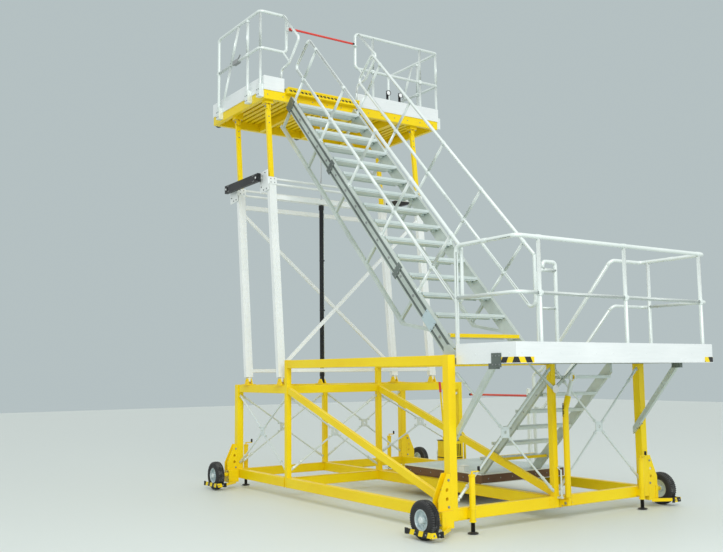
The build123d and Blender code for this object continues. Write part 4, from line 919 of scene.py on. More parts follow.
def makeLandingBoards(s):
    left, right = s["boardX"]
    front = s["boardFront"]
    low, high = s["boardZ"]
    bm = bmesh.new()
    start, step, count = s["rivets"]
    for k in range(count):
        bolt(bm, (start + k * step, front, s["rivetZ"]), (0, -1, 0), 5)
    start, step, count = s["sideRivets"]
    for k in range(count):
        for x, side in ((left, -1), (right, 1)):
            bolt(bm, (x, start + k * step, s["rivetZ"] - 5), (side, 0, 0), 6)
    makePiece("landingRivets", bm, "chassis", "boardWhite", 0)
    bm = bmesh.new()
    topLip = (left + 4, right - 5, front + 5, high, 5, 8)
    lowLip = (left - 2, right + 2, front - 2, low, 3, 6)
    for a, b, y, z, radius, sides in (topLip, lowLip):
        tube(bm, [(a, -62, z), (a, y, z), (b, y, z), (b, 58, z)], radius, sides)
    makePiece("landingBoardLips", bm, "chassis", "boardWhite", 0)


def makeWarningTape(s):
    # at the low corners of the boards, and along the edges at the two stairs
    left, right = s["boardX"]
    front = s["boardFront"]
    low = s["boardZ"][0]
    high = low + s["tapeHigh"]
    thick = s["tape"]
    bm = bmesh.new()
    block(bm, (left - 1.4, front - 1.4, low), (left, s["tapeBack"], high))
    block(bm, (left - 1.4, front - thick, low), (270, front, high))
    block(bm, (2790, front - thick, low), (right + thick, front, high))
    block(bm, (right, front - 1.4, low), (right + thick, s["tapeBack"], high))
    edge = s["backEdge"]
    for x0, x1 in s["openings"]:
        block(bm, (x0, edge, 1640), (x1, edge + thick, 1671))
        block(bm, (x0, edge - 40, 1670), (x1, edge + thick, 1670 + thick))
    makePiece("landingWarningTape", bm, "chassis", "warningTape", 0)


def makeStrutEnds(s):
    # folded plates at the struts' heads, and the left one's plate on the outside of the board
    bm = bmesh.new()
    for x in s["strutX"]:
        block(bm, (x - 3, -625, 1560), (x + s["strutWide"] + 3, -520, 1612))
    face = s["strutX"][0] - 4
    block(bm, (face, -690, 1575), (face + 7, -560, 1706))
    makePiece("strutPlates", bm, "chassis", "darkAluAndGrooveShade")
    bm = bmesh.new()
    for x in s["strutX"]:
        for reach, side in ((0, -1), (s["strutWide"], 1)):
            for y, z in ((-20, 885), (-60, 935)):
                bolt(bm, (x + reach, y, z), (side, 0, 0), 8)
    for y in (-670, -625, -580):
        for z in (1600, 1680):
            bolt(bm, (face, y, z), (-1, 0, 0), 7)
    makePiece("strutBolts", bm, "chassis", "boltSteel", 0)


# lower stair: stringer lips, nosings and bolts

lowerStairTrim = {
    "left": 1440.0,
    "right": 2360.0,
    "thick": 35.0,
    "rise": 187.143,
    "going": 202.0,
    "deep": 230.0,
    "treads": 6,
    "foot": (1230.0, 360.0),
    "lips": ((-52, -42), (42, 52), (-3, 3)),
}


def makeStringerLips(s):
    fall = Vector((0, -1, 1)).normalized()
    over = Vector((0, 1, 1)).normalized()
    place = frameOn(fall, over, (0, *s["foot"]))
    bm = bmesh.new()
    for x, side in ((s["left"], -1), (s["right"], 1)):
        for low, high in s["lips"]:
            block(bm, (x, 70, low), (x + side * 4, 1690, high), place)
    makePiece("lowerStairLips", bm, "chassis", "stairAlu")


def makeLowerStairTrim(s):
    bm = bmesh.new()
    yellow = bmesh.new()
    bolts = bmesh.new()
    x0 = s["left"] + s["thick"]
    x1 = s["right"] - s["thick"]
    for k in range(s["treads"]):
        z = landingTop - (k + 1) * s["rise"]
        front = k * s["going"]
        back = front + s["deep"]
        target = yellow if k == s["treads"] - 1 else bm
        block(target, (x0, back - 26, z - 0.2), (x1, back + 2, z + 2.5))
        block(target, (x0, back, z - 30), (x1, back + 2.4, z + 0.5))
        block(target, (x0, front - 2.4, z - 32), (x1, front, z + 1))
        for g in range(6):
            y = front + 24 + g * 28
            block(bm, (x0 + 8, y, z), (x1 - 8, y + 6, z + 2))
        for x, side in ((s["left"], -1), (s["right"], 1)):
            for dy in (70, 160):
                bolt(bolts, (x, front + dy, z - 18), (side, 0, 0), 8)
    makePiece("lowerStairNosings", bm, "chassis", "treadAlu", 0.4)
    makePiece("lowerStairYellowNosing", yellow, "chassis", "yellowPaint", 0.4)
    # end caps under the stringers
    foot = s["foot"][1]
    for x in (s["left"], s["right"] - s["thick"]):
        block(bolts, (x - 2, 1150, foot), (x + s["thick"] + 2, 1306, foot + 6))
    makePiece("lowerStairBolts", bolts, "chassis", "boltSteel", 0)


# entry deck: ribbed sheet, edge angles, a small box on its edge and the drop bar's post

entryTrim = {
    "x": (1440.0, 2800.0),
    "y": (1190.0, 2650.0),
    "top": 360.0,
    "edge": 14.0,
    "ribs": 44,
    "ribStep": 32.0,
    "barPost": (2760.0, 1720.0),
    "barPin": 1215.0,
    "box": (1490.0, 1590.0),
    "bolts": 7,
}


def makeEntryDeck(s):
    x0, x1 = s["x"]
    y0, y1 = s["y"]
    z = s["top"]
    sheet = bmesh.new()
    block(sheet, (x0 + 4, y0 + 4, z - 0.5), (x1 - 4, y1 - 4, z + 2.2))
    for k in range(s["ribs"]):
        y = y0 + 30 + k * s["ribStep"]
        block(sheet, (x0 + 20, y, z + 2), (x1 - 20, y + 5, z + 4))
    makePiece("entryDeckSheet", sheet, "chassis", "treadAlu", 0)
    edges = bmesh.new()
    low = z - s["edge"]
    thick = 2.5
    block(edges, (x0 - thick, y0 - thick, low), (x1, y0, z + thick))
    block(edges, (x0 - thick, y1, low), (x1, y1 + thick, z + thick))
    block(edges, (x0 - thick, y0, low), (x0, y1, z + thick))
    block(edges, (x0 - thick, y0 - thick, 245), (x1, y0, 252))
    # four-sided cap of the post that carries the drop bar
    postX, postY = s["barPost"]
    knob(edges, (postX, postY, 1305), up, 27, 10, (4, 5), 4)
    makePiece("entryDeckEdges", edges, "chassis", "whiteRail", 0.5)
    box = bmesh.new()
    near, far = s["box"]
    block(box, (x0, near, z + 2), (x0 + 80, far, z + 64))
    block(box, (x0 - 4, near - 4, z + 62), (x0 + 84, far + 4, z + 70))
    makePiece("deckEdgeBox", box, "chassis", "boardWhite", 1.5)
    bolts = bmesh.new()
    for k in range(s["bolts"]):
        bolt(bolts, (x0 + 110 + k * 190, y0 - 0.5, z - 60), (0, -1, 0), 8)
        bolt(bolts, (x0 - 0.5, y0 + 110 + k * 205, z - 60), (-1, 0, 0), 8)
    pin = s["barPin"]
    bolt(bolts, (postX - 21, postY, pin), (-1, 0, 0), 14)
    block(bolts, (postX - 22, postY - 24, pin - 65), (postX + 22, postY + 24, pin - 57))
    makePiece("entryDeckBolts", bolts, "chassis", "boltSteel", 0)


makeLandingRails(landingTrim)
makeLandingBoards(landingTrim)
makeWarningTape(landingTrim)
makeStrutEnds(landingTrim)
makeStringerLips(lowerStairTrim)
makeLowerStairTrim(lowerStairTrim)
makeEntryDeck(entryTrim)
print("landing and entry dressed")


# pump unit: tank with lid and motor, valve block, hand lever

pumpTrim = {
    "x": (2250.0, 2480.0),
    "y": (2740.0, 2980.0),
    "z": (330.0, 600.0),
    "fins": 14,
    "lever": ((2262.0, 2850.0, 640.0), (2245.0, 2850.0, 900.0), (2210.0, 2850.0, 1290.0)),
    "grip": ((2213.0, 2850.0, 1260.0), (2200.0, 2850.0, 1400.0)),
}


def makePumpTank(s):
    x0, x1 = s["x"]
    y0, y1 = s["y"]
    z0, z1 = s["z"]
    middle = (y0 + y1) / 2
    motor = x1 - 70
    bm = bmesh.new()
    block(bm, (x0 - 8, y0 - 8, z1), (x1 + 8, y1 + 8, z1 + 9))
    block(bm, (x0 - 5, y0 - 5, z0 + 40), (x1 + 5, y1 + 5, z0 + 52))
    for k in range(7):
        x = x0 + 18 + k * 30
        block(bm, (x, y0 - 7, z0 + 70), (x + 9, y0, z1 - 40))
    # filler cap, then the motor with its fins
    knob(bm, (x0 + 70, middle, z1 + 8), up, 34, 30, (6, 8), 24)
    housing = [(0, 52), (8, 56), (12, 56), (20, 52), (90, 52), (96, 44), (96, 0)]
    turned(bm, housing, (motor, middle, z1 + 6), up, 32)
    for k in range(s["fins"]):
        x = motor + 54 * math.cos(around(k, s["fins"]))
        y = middle + 54 * math.sin(around(k, s["fins"]))
        block(bm, (x - 2, y - 2, z1 + 28), (x + 2, y + 2, z1 + 88))
    makePiece("pumpTank", bm, "chassis", "blackPaintAndSlotShade", 1.2)


def makePumpValves(s):
    x0, x1 = s["x"]
    y0, y1 = s["y"]
    z0, z1 = s["z"]
    bm = bmesh.new()
    block(bm, (x0 + 20, y1, z0 + 60), (x0 + 150, y1 + 34, z0 + 140))
    spool = [(0, 0), (0, 11), (22, 11), (22, 14), (34, 14), (34, 0)]
    for k in range(3):
        turned(bm, spool, (x0 + 44 + k * 40, y1 + 34, z0 + 100), (0, 1, 0), 6)
    for x in (x0 - 6, x1 + 6):
        for y in (y0 - 4, y1 + 4):
            bolt(bm, (x, y, z1 + 9), up, 6)
    # hard pipe from the valve block towards the foot of the cylinder, held by the base
    y = y1 + 60
    tube(bm, [(x0 + 44, y, z0 + 100), (x0 + 44, y, 262), (1490, y, 262), (1440, 3092, 300)], 7, 10)
    makePiece("pumpValves", bm, "chassis", "galvanised", 0.5)


def makePumpLever(s):
    bm = bmesh.new()
    tube(bm, s["lever"], 13, 12)
    x, y, z = s["lever"][0]
    disc(bm, (x, y, z - 32), up, 22, 44, 18)
    makePiece("pumpLever", bm, "chassis", "yellowPaint", 0)
    bm = bmesh.new()
    tube(bm, s["grip"], 17, 14)
    makePiece("pumpLeverGrip", bm, "chassis", "redPaint", 2)


makePumpTank(pumpTrim)
makePumpValves(pumpTrim)
makePumpLever(pumpTrim)
print("pump dressed")


# tower: masts that lean on their foot pins, inner legs, link beams and the lift cylinder

tower = {
    "lean": math.radians(5.9),
    "pinZ": 1450.0,
    "rows": {"front": 3330.0, "back": 4240.0},
    "xs": ((0.0, -1), (2450.0, 1)),
    "mastHalf": (52.5, 30.0),
    "mastLips": (60.0, 2595.0),
    "mouth": 2660.0,
    "collarBolts": (2625.0, 2675.0),
    "linkBolts": ((2545, 10), (2545, 90), (2600, 150), (2770, 30)),
    "crossBars": ((125, 44), (2435, 60)),
    "legHalf": (30.0, 20.5),
    "legCap": (3630.0, 3664.0),
    "legBolts": (3470.0, 3560.0),
    "legPin": 3705.0,
    "link": (2725.0, 150.0),
    "linkOut": 152.0,
}


def mastFrame(pinY):
    c, s = math.cos(tower["lean"]), math.sin(tower["lean"])
    return frameOn((0, s, c), (0, c, -s), (0, pinY, tower["pinZ"]))


def makeMastTrim(row, pinY, s):
    place = mastFrame(pinY)
    out = place.to_3x3() @ Vector(up)
    halfX, halfN = s["mastHalf"]
    low, high = s["mastLips"]
    mouth = s["mouth"]
    bolts = bmesh.new()
    pads = bmesh.new()
    lips = bmesh.new()
    for x, side in s["xs"]:
        for t in s["collarBolts"]:
            for n in (-1, 1):
                for dx in (28, -28):
                    bolt(bolts, place @ Vector((x + dx, t, n * 38)), out * n, 8)
            bolt(bolts, place @ Vector((x - side * 60.5, t, 0)), (-side, 0, 0), 8)
        for t, n in s["linkBolts"]:
            bolt(bolts, place @ Vector((x + side * 72.5, t, n)), (side, 0, 0), 11)
        # extruded lips down the corners and the middle of the broad faces
        for n in (-1, 1):
            for e in (-1, 1):
                block(lips, (x + e * halfX, low, n * halfN), (x + e * 44, high, n * 32.5), place)
            block(lips, (x - 5, low, n * halfN), (x + 5, high, n * 31.8), place)
        # slide pads at the mouth of the mast, clear of the leg, and the weld at its foot
        for n in (-1, 1):
            block(pads, (x - 46, mouth, n * 23.5), (x + 46, mouth + 44, n * halfN), place)
            block(pads, (x + n * 36, mouth, -23.5), (x + n * 52, mouth + 44, 23.5), place)
            tube(lips, [place @ Vector((x + dx, 40, n * halfN)) for dx in (-52, 52)], 4, 8)
    makePiece("mastLips_" + row, lips, "tower_" + row, "mastWhite", 0)
    makePiece("mastBolts_" + row, bolts, "tower_" + row, "boltSteel", 0)
    makePiece("mastPads_" + row, pads, "tower_" + row, "bumperRubber")


def makeRowWelds(row, pinY, s):
    # beads round the ends of the cross bars
    place = mastFrame(pinY)
    bm = bmesh.new()
    for x, side in s["xs"]:
        face = x - side * (s["mastHalf"][0] + 2)
        for t, deep in s["crossBars"]:
            half = deep / 2
            corners = [(-half, -18), (half, -18), (half, 18), (-half, 18)]
            tube(bm, [place @ Vector((face, t + a, n)) for a, n in corners], 4, 6, True)
    makePiece("rowWelds_" + row, bm, "tower_" + row, "mastWhite", 0)


def makeLegTrim(row, pinY, s):
    place = mastFrame(pinY)
    out = place.to_3x3() @ Vector(up)
    halfX, halfN = s["legHalf"]
    low, high = s["legCap"]
    bolts = bmesh.new()
    caps = bmesh.new()
    for x, _ in s["xs"]:
        block(caps, (x - halfX, low, -halfN), (x + halfX, high, halfN), place)
        for n in (-1, 1):
            for t in s["legBolts"]:
                bolt(bolts, place @ Vector((x, t, n * halfN)), out * n, 9)
    makePiece("legCaps_" + row, caps, "legs_" + row, "yellowPaint")
    makePiece("legBolts_" + row, bolts, "legs_" + row, "boltSteel", 0)


def makeLinkTrim(s):
    bolts = bmesh.new()
    ends = bmesh.new()
    for x, side in s["xs"]:
        face = x + side * s["linkOut"]
        for row, way in (("front", -1), ("back", 1)):
            pin = mastFrame(s["rows"][row]) @ Vector((0, *s["link"]))
            end = pin.y + way * 42
            # end plate and the boss round the pin
            block(ends, (x + side * 100, end, pin.z - 56), (face + side, end + way * 4, pin.z + 56))
            boss = [(0, 17), (0, 34), (6, 34), (6, 17)]
            turned(ends, boss, (face, pin.y, pin.z), (side, 0, 0), 24)
            for dy in (55, 90):
                for dz in (38, -38):
                    bolt(bolts, (face, pin.y - way * dy, pin.z + dz), (side, 0, 0), 9)
    makePiece("linkBeamEnds", ends, "tower_links", "blackPaintAndSlotShade")
    makePiece("linkBeamBolts", bolts, "tower_links", "boltSteel", 0)


cylinderTrim = {
    "x": 960.0,
    "y": 3900.0,
    "top": 3900.0,
    "foot": 1490.0,
    "clamps": (1700.0, 2400.0, 3100.0),
    "pipe": ((40.0, 1530.0), (40.0, 3790.0), (31.0, 3815.0)),
}


def makeCylinderTrim(s):
    x, y = s["x"], s["y"]
    rings = bmesh.new()
    for down in (58, 34, 12):
        turned(rings, [(0, 35), (2, 38.5), (7, 38.5), (9, 35)], (x, y, s["top"] - down), up, 32)
    turned(rings, [(0, 28), (0, 34), (46, 34), (50, 28)], (x, y, s["foot"]), up, 32)
    for z in s["clamps"]:
        turned(rings, [(0, 28), (0, 31), (22, 31), (22, 28)], (x, y, z), up, 28)
        block(rings, (x + 26, y - 9, z + 2), (x + 46, y + 9, z + 20))
    makePiece("cylinderRings", rings, "cylinder", "blackPaintAndSlotShade")
    # a hard pipe up the barrel, with a nut and two elbows
    pipe = bmesh.new()
    tube(pipe, [(x + out, y, z) for out, z in s["pipe"]], 6, 10)
    disc(pipe, (x + 40, y, s["foot"] + 25), up, 10, 16, 6)
    for z in (1510, 3815):
        disc(pipe, (x + 28, y, z), (1, 0, 0), 12, 14, 6)
    makePiece("cylinderPipe", pipe, "cylinder", "galvanised", 0)


for towerRow, rowPinY in tower["rows"].items():
    makeMastTrim(towerRow, rowPinY, tower)
    makeRowWelds(towerRow, rowPinY, tower)
    makeLegTrim(towerRow, rowPinY, tower)
makeLinkTrim(tower)
makeCylinderTrim(cylinderTrim)
print("tower dressed")


# top platform: warning sill, planks, rail fittings, bolts, deck ribs, lamps and stops

platformTrim = {
    "left": -110.0,
    "right": 2860.0,
    "sill": (210.0, 1370.0),
    "sillReach": 85.0,
    "slotShade": 19,
    "slotStep": 60.0,
    "bays": 4,
    "plank": 58.0,
    "plankStep": 94.0,
    "railUp": 1040.0,
    "midUp": 525.0,
    "guard": nearY + 40,
    "backPost": farY - 280,
    "sides": ((-110.0, -1, (17.6, 360.0)), (2860.0, 1, (17.6, 500.0))),
    "nearPosts": (1700.0, 2570.0),
    "gatePosts": (195.0, 1445.0),
    "clamp": (-160.0, 4260.0, 4420.0),
    "boltDown": (60.0, 130.0),
    "frontBolts": (-60.0, 235.0, 13),
    "frontRivets": ((1440.0, 230.0, 7), (-60.0, 200.0, 2)),
    "sideRivets": (160.0, 195.0, 8),
    "deckLines": 19,
    "deckRibs": 52,
    "lamps": (1930.0, 2150.0),
    "stops": (20.0, 1375.0, 2730.0),
    "stopDown": 110.0,
}


def makeSill(s):
    top = platformTop
    front = nearY - s["sillReach"]
    x0, x1 = s["sill"]
    # black patches on the sill's front and top: painted shade where its slots open
    slotShade = bmesh.new()
    for k in range(s["slotShade"]):
        x = x0 + 14 + k * s["slotStep"]
        block(slotShade, (x, front - 1.2, top - 44), (x + 44, front, top - 30))
        block(slotShade, (x + 16, front - 1.2, top - 56), (x + 52, front, top - 46))
        for y in (front + 18, front + 52):
            block(slotShade, (x, y, top), (x + 46, y + 14, top + 1.2))
    makePiece("sillSlotShade", slotShade, "platform", "blackPaintAndSlotShade", 0)
    lips = bmesh.new()
    block(lips, (x0 - 4, front - 5, top - 14), (x1 + 4, front, top + 4))
    block(lips, (x0 - 4, front - 3, top - 82), (x1 + 4, front, top - 72))
    makePiece("sillLips", lips, "platform", "yellowPaint")


def makeUnderPlanks(s):
    # planks under the deck, between the cross beams
    bm = bmesh.new()
    bay = (s["right"] - s["left"] - 60) / s["bays"]
    for k in range(s["bays"]):
        x = s["left"] + k * bay + 74
        while x + s["plank"] < s["left"] + (k + 1) * bay:
            block(bm, (x, nearY + 62, platformTop - 70), (x + s["plank"], farY - 62, platformTop - 40))
            x += s["plankStep"]
    makePiece("underPlanks", bm, "platform", "yellowPaint", 0)


def makePlatformRails(s):
    top = platformTop
    mid = top + s["midUp"]
    guardY = s["guard"]
    bm = bmesh.new()
    for edge, side, posts in s["sides"]:
        corner = edge + side * 32
        face = corner + side * 17.6
        places = ((corner, guardY + posts[0]), (face, guardY + posts[1]), (face, s["backPost"]))
        for k, (x, y) in enumerate(places):
            turned(bm, [(0, 0), (0, 27), (5, 27), (22, 22), (22, 18)], (x, y, top + 10), up, 20)
            if k > 0:
                sleeve(bm, (x, y, mid), up, 24.5, 54)
                sleeve(bm, (x, y, mid), (0, 1, 0), 24, 60)
                sleeve(bm, (x, y, top + s["railUp"] - 30), up, 23, 30)
    for x in s["nearPosts"]:
        footFlange(bm, x, guardY, top, 36, 19)
        sleeve(bm, (x, guardY, mid), up, 24.5, 54)
        sleeve(bm, (x, guardY, mid), (1, 0, 0), 24, 60)
    for x in s["gatePosts"]:
        footFlange(bm, x, guardY + 60, top, 34, 18)
        # brace from the mid rail to the bowed return
        tube(bm, [(x, guardY, mid), (x, guardY - 185, mid - 190)], 13, 12)
    makePiece("platformRailFittings", bm, "platform", "whiteRail", 0)


def makePlatformBolts(s):
    top = platformTop
    mid = top + s["midUp"]
    bolts = bmesh.new()
    rivets = bmesh.new()
    for edge, side, posts in s["sides"]:
        for y in (s["guard"] + posts[0], s["guard"] + posts[1], s["backPost"]):
            for dy in (-24, 24):
                for down in reversed(s["boltDown"]):
                    bolt(bolts, (edge + side * 72, y + dy, top - down), (side, 0, 0), 9)
        start, step, count = s["sideRivets"]
        for k in range(count):
            bolt(rivets, (edge + side * 12, nearY + start + k * step, top + 90), (side, 0, 0), 6)
    for start, step, count in s["frontRivets"]:
        for k in range(count):
            bolt(rivets, (start + k * step, nearY - 12, top + 85), (0, -1, 0), 6)
    start, step, count = s["frontBolts"]
    for k in range(count):
        bolt(bolts, (start + k * step, nearY, top - 120), (0, -1, 0), 8)
    # clamp on the left mid rail, with its lever
    x, y0, y1 = s["clamp"]
    block(bolts, (x - 28, y0, mid - 28), (x + 28, y1, mid + 28))
    tube(bolts, [(x, y0 + 40, mid + 28), (x, y0 - 30, mid + 78)], 9, 10)
    makePiece("platformBolts", bolts, "platform", "boltSteel", 0)
    makePiece("platformRivets", rivets, "platform", "boardWhite", 0)


def makePlatformDeck(s):
    # raised lines along and across the deck, and the rolled lip of the toe boards
    top = platformTop
    bm = bmesh.new()
    for k in range(s["deckLines"]):
        x = s["left"] + 60 + k * 156
        block(bm, (x, nearY + 20, top), (x + 6, farY - 10, top + 2))
    for k in range(s["deckRibs"]):
        y = nearY + 30 + k * 30
        block(bm, (s["left"] + 12, y, top), (s["right"] - 12, y + 5, top + 1.4))
    makePiece("platformDeckRibs", bm, "platform", "deckAlu", 0)
    bm = bmesh.new()
    lip = top + 130
    for start, x in ((190, s["left"] - 6), (1390, s["right"] + 6)):
        tube(bm, [(start, nearY - 6, lip), (x, nearY - 6, lip), (x, farY - 4, lip)], 5, 8)
    makePiece("platformBoardLips", bm, "platform", "boardWhite", 0)


def makeLamps(s):
    # two small lamps on brackets behind the near toe board
    shell = bmesh.new()
    glass = bmesh.new()
    for x in s["lamps"]:
        place = (x, nearY + 2, platformTop + 232)
        block(shell, (x - 20, nearY + 2, platformTop + 40), (x + 20, nearY + 8, platformTop + 270))
        turned(shell, [(0, 0), (0, 28), (22, 40), (34, 40), (34, 34)], place, (0, -1, 0), 28)
        turned(glass, [(27, 34), (31, 24), (33, 0)], place, (0, -1, 0), 28)
    makePiece("lampShells", shell, "platform", "blackPaintAndSlotShade", 0)
    makePiece("lampGlasses", glass, "platform", "stickerWhite", 0)


def makeStopRings(s):
    bm = bmesh.new()
    z = platformTop - s["stopDown"]
    for x in s["stops"]:
        turned(bm, [(0, 54), (0, 66), (10, 66), (14, 54)], (x, farY, z), (0, 1, 0), 32)
        for out in (60, 100):
            turned(bm, [(0, 54.5), (5, 56.5), (10, 54.5)], (x, farY + out, z), (0, 1, 0), 32)
    makePiece("stopRings", bm, "platform", "bumperRubber", 0)


def makeLegHeads(s):
    # pins of the leg heads and the bolts of their clevises
    bm = bmesh.new()
    for pinY in s["rows"].values():
        for x, _ in s["xs"]:
            p = mastFrame(pinY) @ Vector((x, s["legPin"], 0))
            for way in (-1, 1):
                knob(bm, (p.x + way * 31, p.y, p.z), (way, 0, 0), 17, 11, (3, 5))
                for dy in (-38, 38):
                    bolt(bm, (p.x + way * 48, p.y + dy, p.z + 27), (0, 0, -1), 8)
    makePiece("legHeadPins", bm, "platform", "boltSteel", 0)


makeSill(platformTrim)
makeUnderPlanks(platformTrim)
makePlatformRails(platformTrim)
makePlatformBolts(platformTrim)
makePlatformDeck(platformTrim)
makeLamps(platformTrim)
makeStopRings(platformTrim)
makeLegHeads(tower)
print("platform dressed")


# main stair: lips of the stringers, rail fittings, pin heads, plates and treads

mainStair = {
    "left": 165.0,
    "right": 1210.0,
    "nose": (220.0, 1920.0),
    "headShort": 371.4,
    "headDown": 299.5,
    "lips": ((-172, -158), (-36, -22), (-124, -116), (-80, -72)),
    "grooveShade": ((-158, -124), (-72, -36)),
    "ends": 177.0,
    "treads": 15,
    "posts": 5,
    "firstPost": 670.0,
    "overPost": 80.0,
    "splices": (1080.0, 3030.0),
    "plate": (190.0, 400.0),
}
stairRun = nearY - mainStair["headShort"] - mainStair["nose"][0]
stairRise = platformTop - mainStair["headDown"] - mainStair["nose"][1]
stairLong = math.hypot(stairRun, stairRise)
stairAlong = Vector((0, stairRun, stairRise)) / stairLong
stairOver = Vector((0, -stairRise, stairRun)) / stairLong
stairPlace = frameOn(stairAlong, stairOver, (0, *mainStair["nose"]))


def onStair(x, t, n):
    return stairPlace @ Vector((x, t, n))


def stringers(s):
    return ((s["left"], -1), (s["right"], 1))


def postPlaces(s):
    step = (stairLong + s["overPost"] - s["firstPost"]) / (s["posts"] - 1)
    return [s["firstPost"] + step * k for k in range(s["posts"])]


def makeStairLips(s):
    lips = bmesh.new()
    grooveShade = bmesh.new()
    end = s["ends"]
    for x, side in stringers(s):
        for low, high in s["lips"]:
            block(lips, (x, -end - 1, low), (x + side * 7, stairLong + end, high), stairPlace)
        # dark strips between the lips: painted shade in the stringers' grooves
        for low, high in s["grooveShade"]:
            block(grooveShade, (x, -end, low), (x + side * 1.2, stairLong + end - 1, high), stairPlace)
        # plates where the short posts meet the lower bar
        middle = x - side * 20
        for t in postPlaces(s):
            block(lips, (middle - 21, t - 30, -435), (middle + 21, t + 30, -428), stairPlace)
    makePiece("stairGroovePaintedShade", grooveShade, "stair", "darkAluAndGrooveShade", 0)
    makePiece("stairLips", lips, "stair", "stairAlu", 0.6)


def makeStairRails(s):
    rails = bmesh.new()
    for x, side in stringers(s):
        middle = x - side * 20
        for t in postPlaces(s):
            block(rails, (middle - 24, t - 34, -22), (middle + 24, t + 34, -15), stairPlace)
            turned(rails, [(0, 16), (0, 24), (22, 20), (22, 16)], onStair(middle, t, -16), stairOver, 20)
            sleeve(rails, onStair(middle, t, 310), stairOver, 21.5, 50)
            sleeve(rails, onStair(middle, t, 310), stairAlong, 22.5, 54)
            sleeve(rails, onStair(middle, t, 745), stairAlong, 22.5, 50)
    makePiece("stairRailFittings", rails, "stair", "whiteRail", 0)


def makeStairPlates(s):
    # head plates by the hinge, and two splice clamps on the left stringer
    plates = bmesh.new()
    for x, side in stringers(s):
        block(plates, (x, stairLong + 30, -190), (x + side * 9, stairLong + 172, -8), stairPlace)
    for t in s["splices"]:
        block(plates, (s["left"] - 9, t - 45, -184), (s["left"], t + 45, -12), stairPlace)
    makePiece("stairPlates", plates, "stair", "darkAluAndGrooveShade")


def makeBluePlate(s):
    # bluish plate on the outer face near the foot, with its four rivets
    low, high = s["plate"]
    face = s["left"] - 9.5
    bm = bmesh.new()
    block(bm, (face, low, -165), (face + 2.5, high, -30), stairPlace)
    makePiece("stairPlate", bm, "stair", "bluePlate", 0.5)
    bm = bmesh.new()
    for t in (low + 15, high - 15):
        for n in (-138, -57):
            bolt(bm, onStair(face, t, n), (-1, 0, 0), 5)
    makePiece("stairPlateRivets", bm, "stair", "boltSteel", 0)


def makeStairBolts(s):
    bolts = bmesh.new()
    for x, side in stringers(s):
        out = (side, 0, 0)
        for t in postPlaces(s):
            for dt in (-26, 26):
                bolt(bolts, onStair(x - side * 8, t + dt, -15), stairOver, 6)
        # pin heads of the treads
        for k in range(s["treads"]):
            p = onStair(0, k * stairLong / (s["treads"] - 1), 0)
            knob(bolts, (x, p.y + 110, p.z - 28), out, 15, 8, (3, 4), 18)
    for x, side in stringers(s):
        for t in (stairLong + 55, stairLong + 145):
            for n in (-160, -40):
                bolt(bolts, onStair(x + side * 9, t, n), (side, 0, 0), 9)
    for t in s["splices"]:
        for dt in (-28, 28):
            for n in (-150, -97, -44):
                bolt(bolts, onStair(s["left"] - 9, t + dt, n), (-1, 0, 0), 8)
    makePiece("stairBolts", bolts, "stair", "boltSteel", 0)


treadTrim = {"left": 211.0, "right": 1164.0, "deep": 225.0, "thick": 30.0, "ribs": 7, "ribStep": 25.0}


def makeTreadTrim(number, s):
    last = mainStair["treads"]
    p = onStair(0, (last - number) * stairLong / (last - 1), 0)
    y, z = p.y, p.z
    left, right = s["left"], s["right"]
    under = z - s["thick"]
    body = "tread_%02d" % number
    nose = bmesh.new()
    block(nose, (left, y - 2.5, under - 6 if number == last else under + 2), (right, y, z + 2.5))
    block(nose, (left, y - 1, z), (right, y + 30, z + 2.5))
    makePiece("treadNose_%02d" % number, nose, body, "yellowPaint" if number == last else "treadAlu", 0.5)
    ribs = bmesh.new()
    for k in range(s["ribs"]):
        front = y + 44 + k * s["ribStep"]
        block(ribs, (left + 6, front, z), (right - 6, front + 7, z + 2.2))
    # folded flanges under the tread
    for front in (y + 6, y + s["deep"] - 10):
        block(ribs, (left + 24, front, under - 12), (right - 24, front + 4, under))
    makePiece("treadRibs_%02d" % number, ribs, body, "treadAlu", 0.4)


makeStairPlates(mainStair)
makeStairLips(mainStair)
makeStairRails(mainStair)
makeStairBolts(mainStair)
makeBluePlate(mainStair)
for treadNumber in range(1, mainStair["treads"] + 1):
    makeTreadTrim(treadNumber, treadTrim)
print("main stair dressed")


# drop bars and tow bar

barTrim = {
    "radius": 15.0,
    "platformEnd": 1340.0,
    "platformPin": 300.0,
    "platformUp": 860.0,
    "entryPin": (2800.0, 1720.0),
    "entryEnd": (2827.5, 2950.0),
    "entryZ": 1215.0,
}


def makeBarCaps(s):
    cap = [(-26, s["radius"]), (-26, 17), (0, 17), (3, 12), (3, 0)]
    y = nearY - 5
    z = platformTop + s["platformUp"]
    bm = bmesh.new()
    turned(bm, cap, (s["platformEnd"], y, z), (1, 0, 0), 20)
    turned(bm, [(-11, 25), (-11, 28.5), (-5, 28.5), (-5, 25)], (s["platformPin"], y, z), (0, 1, 0), 28)
    makePiece("platformBarCap", bm, "platform_bar", "blackPaintAndSlotShade", 0)
    bm = bmesh.new()
    turned(bm, cap, (*s["entryEnd"], s["entryZ"]), (0, 1, 0), 20)
    turned(bm, [(0, 25), (0, 28.5), (6, 28.5), (6, 25)], (*s["entryPin"], s["entryZ"]), (1, 0, 0), 28)
    makePiece("entryBarCap", bm, "entry_bar", "blackPaintAndSlotShade", 0)


towTrim = {
    "x": 1480.0,
    "y": -105.0,
    "lugZ": 180.0,
    "lugFace": -45.0,
    "chainZ": 1080.0,
    "links": 5,
    "tubeEnd": (1525.0, 1270.0),
    "eye": (1600.0, 1470.0),
}


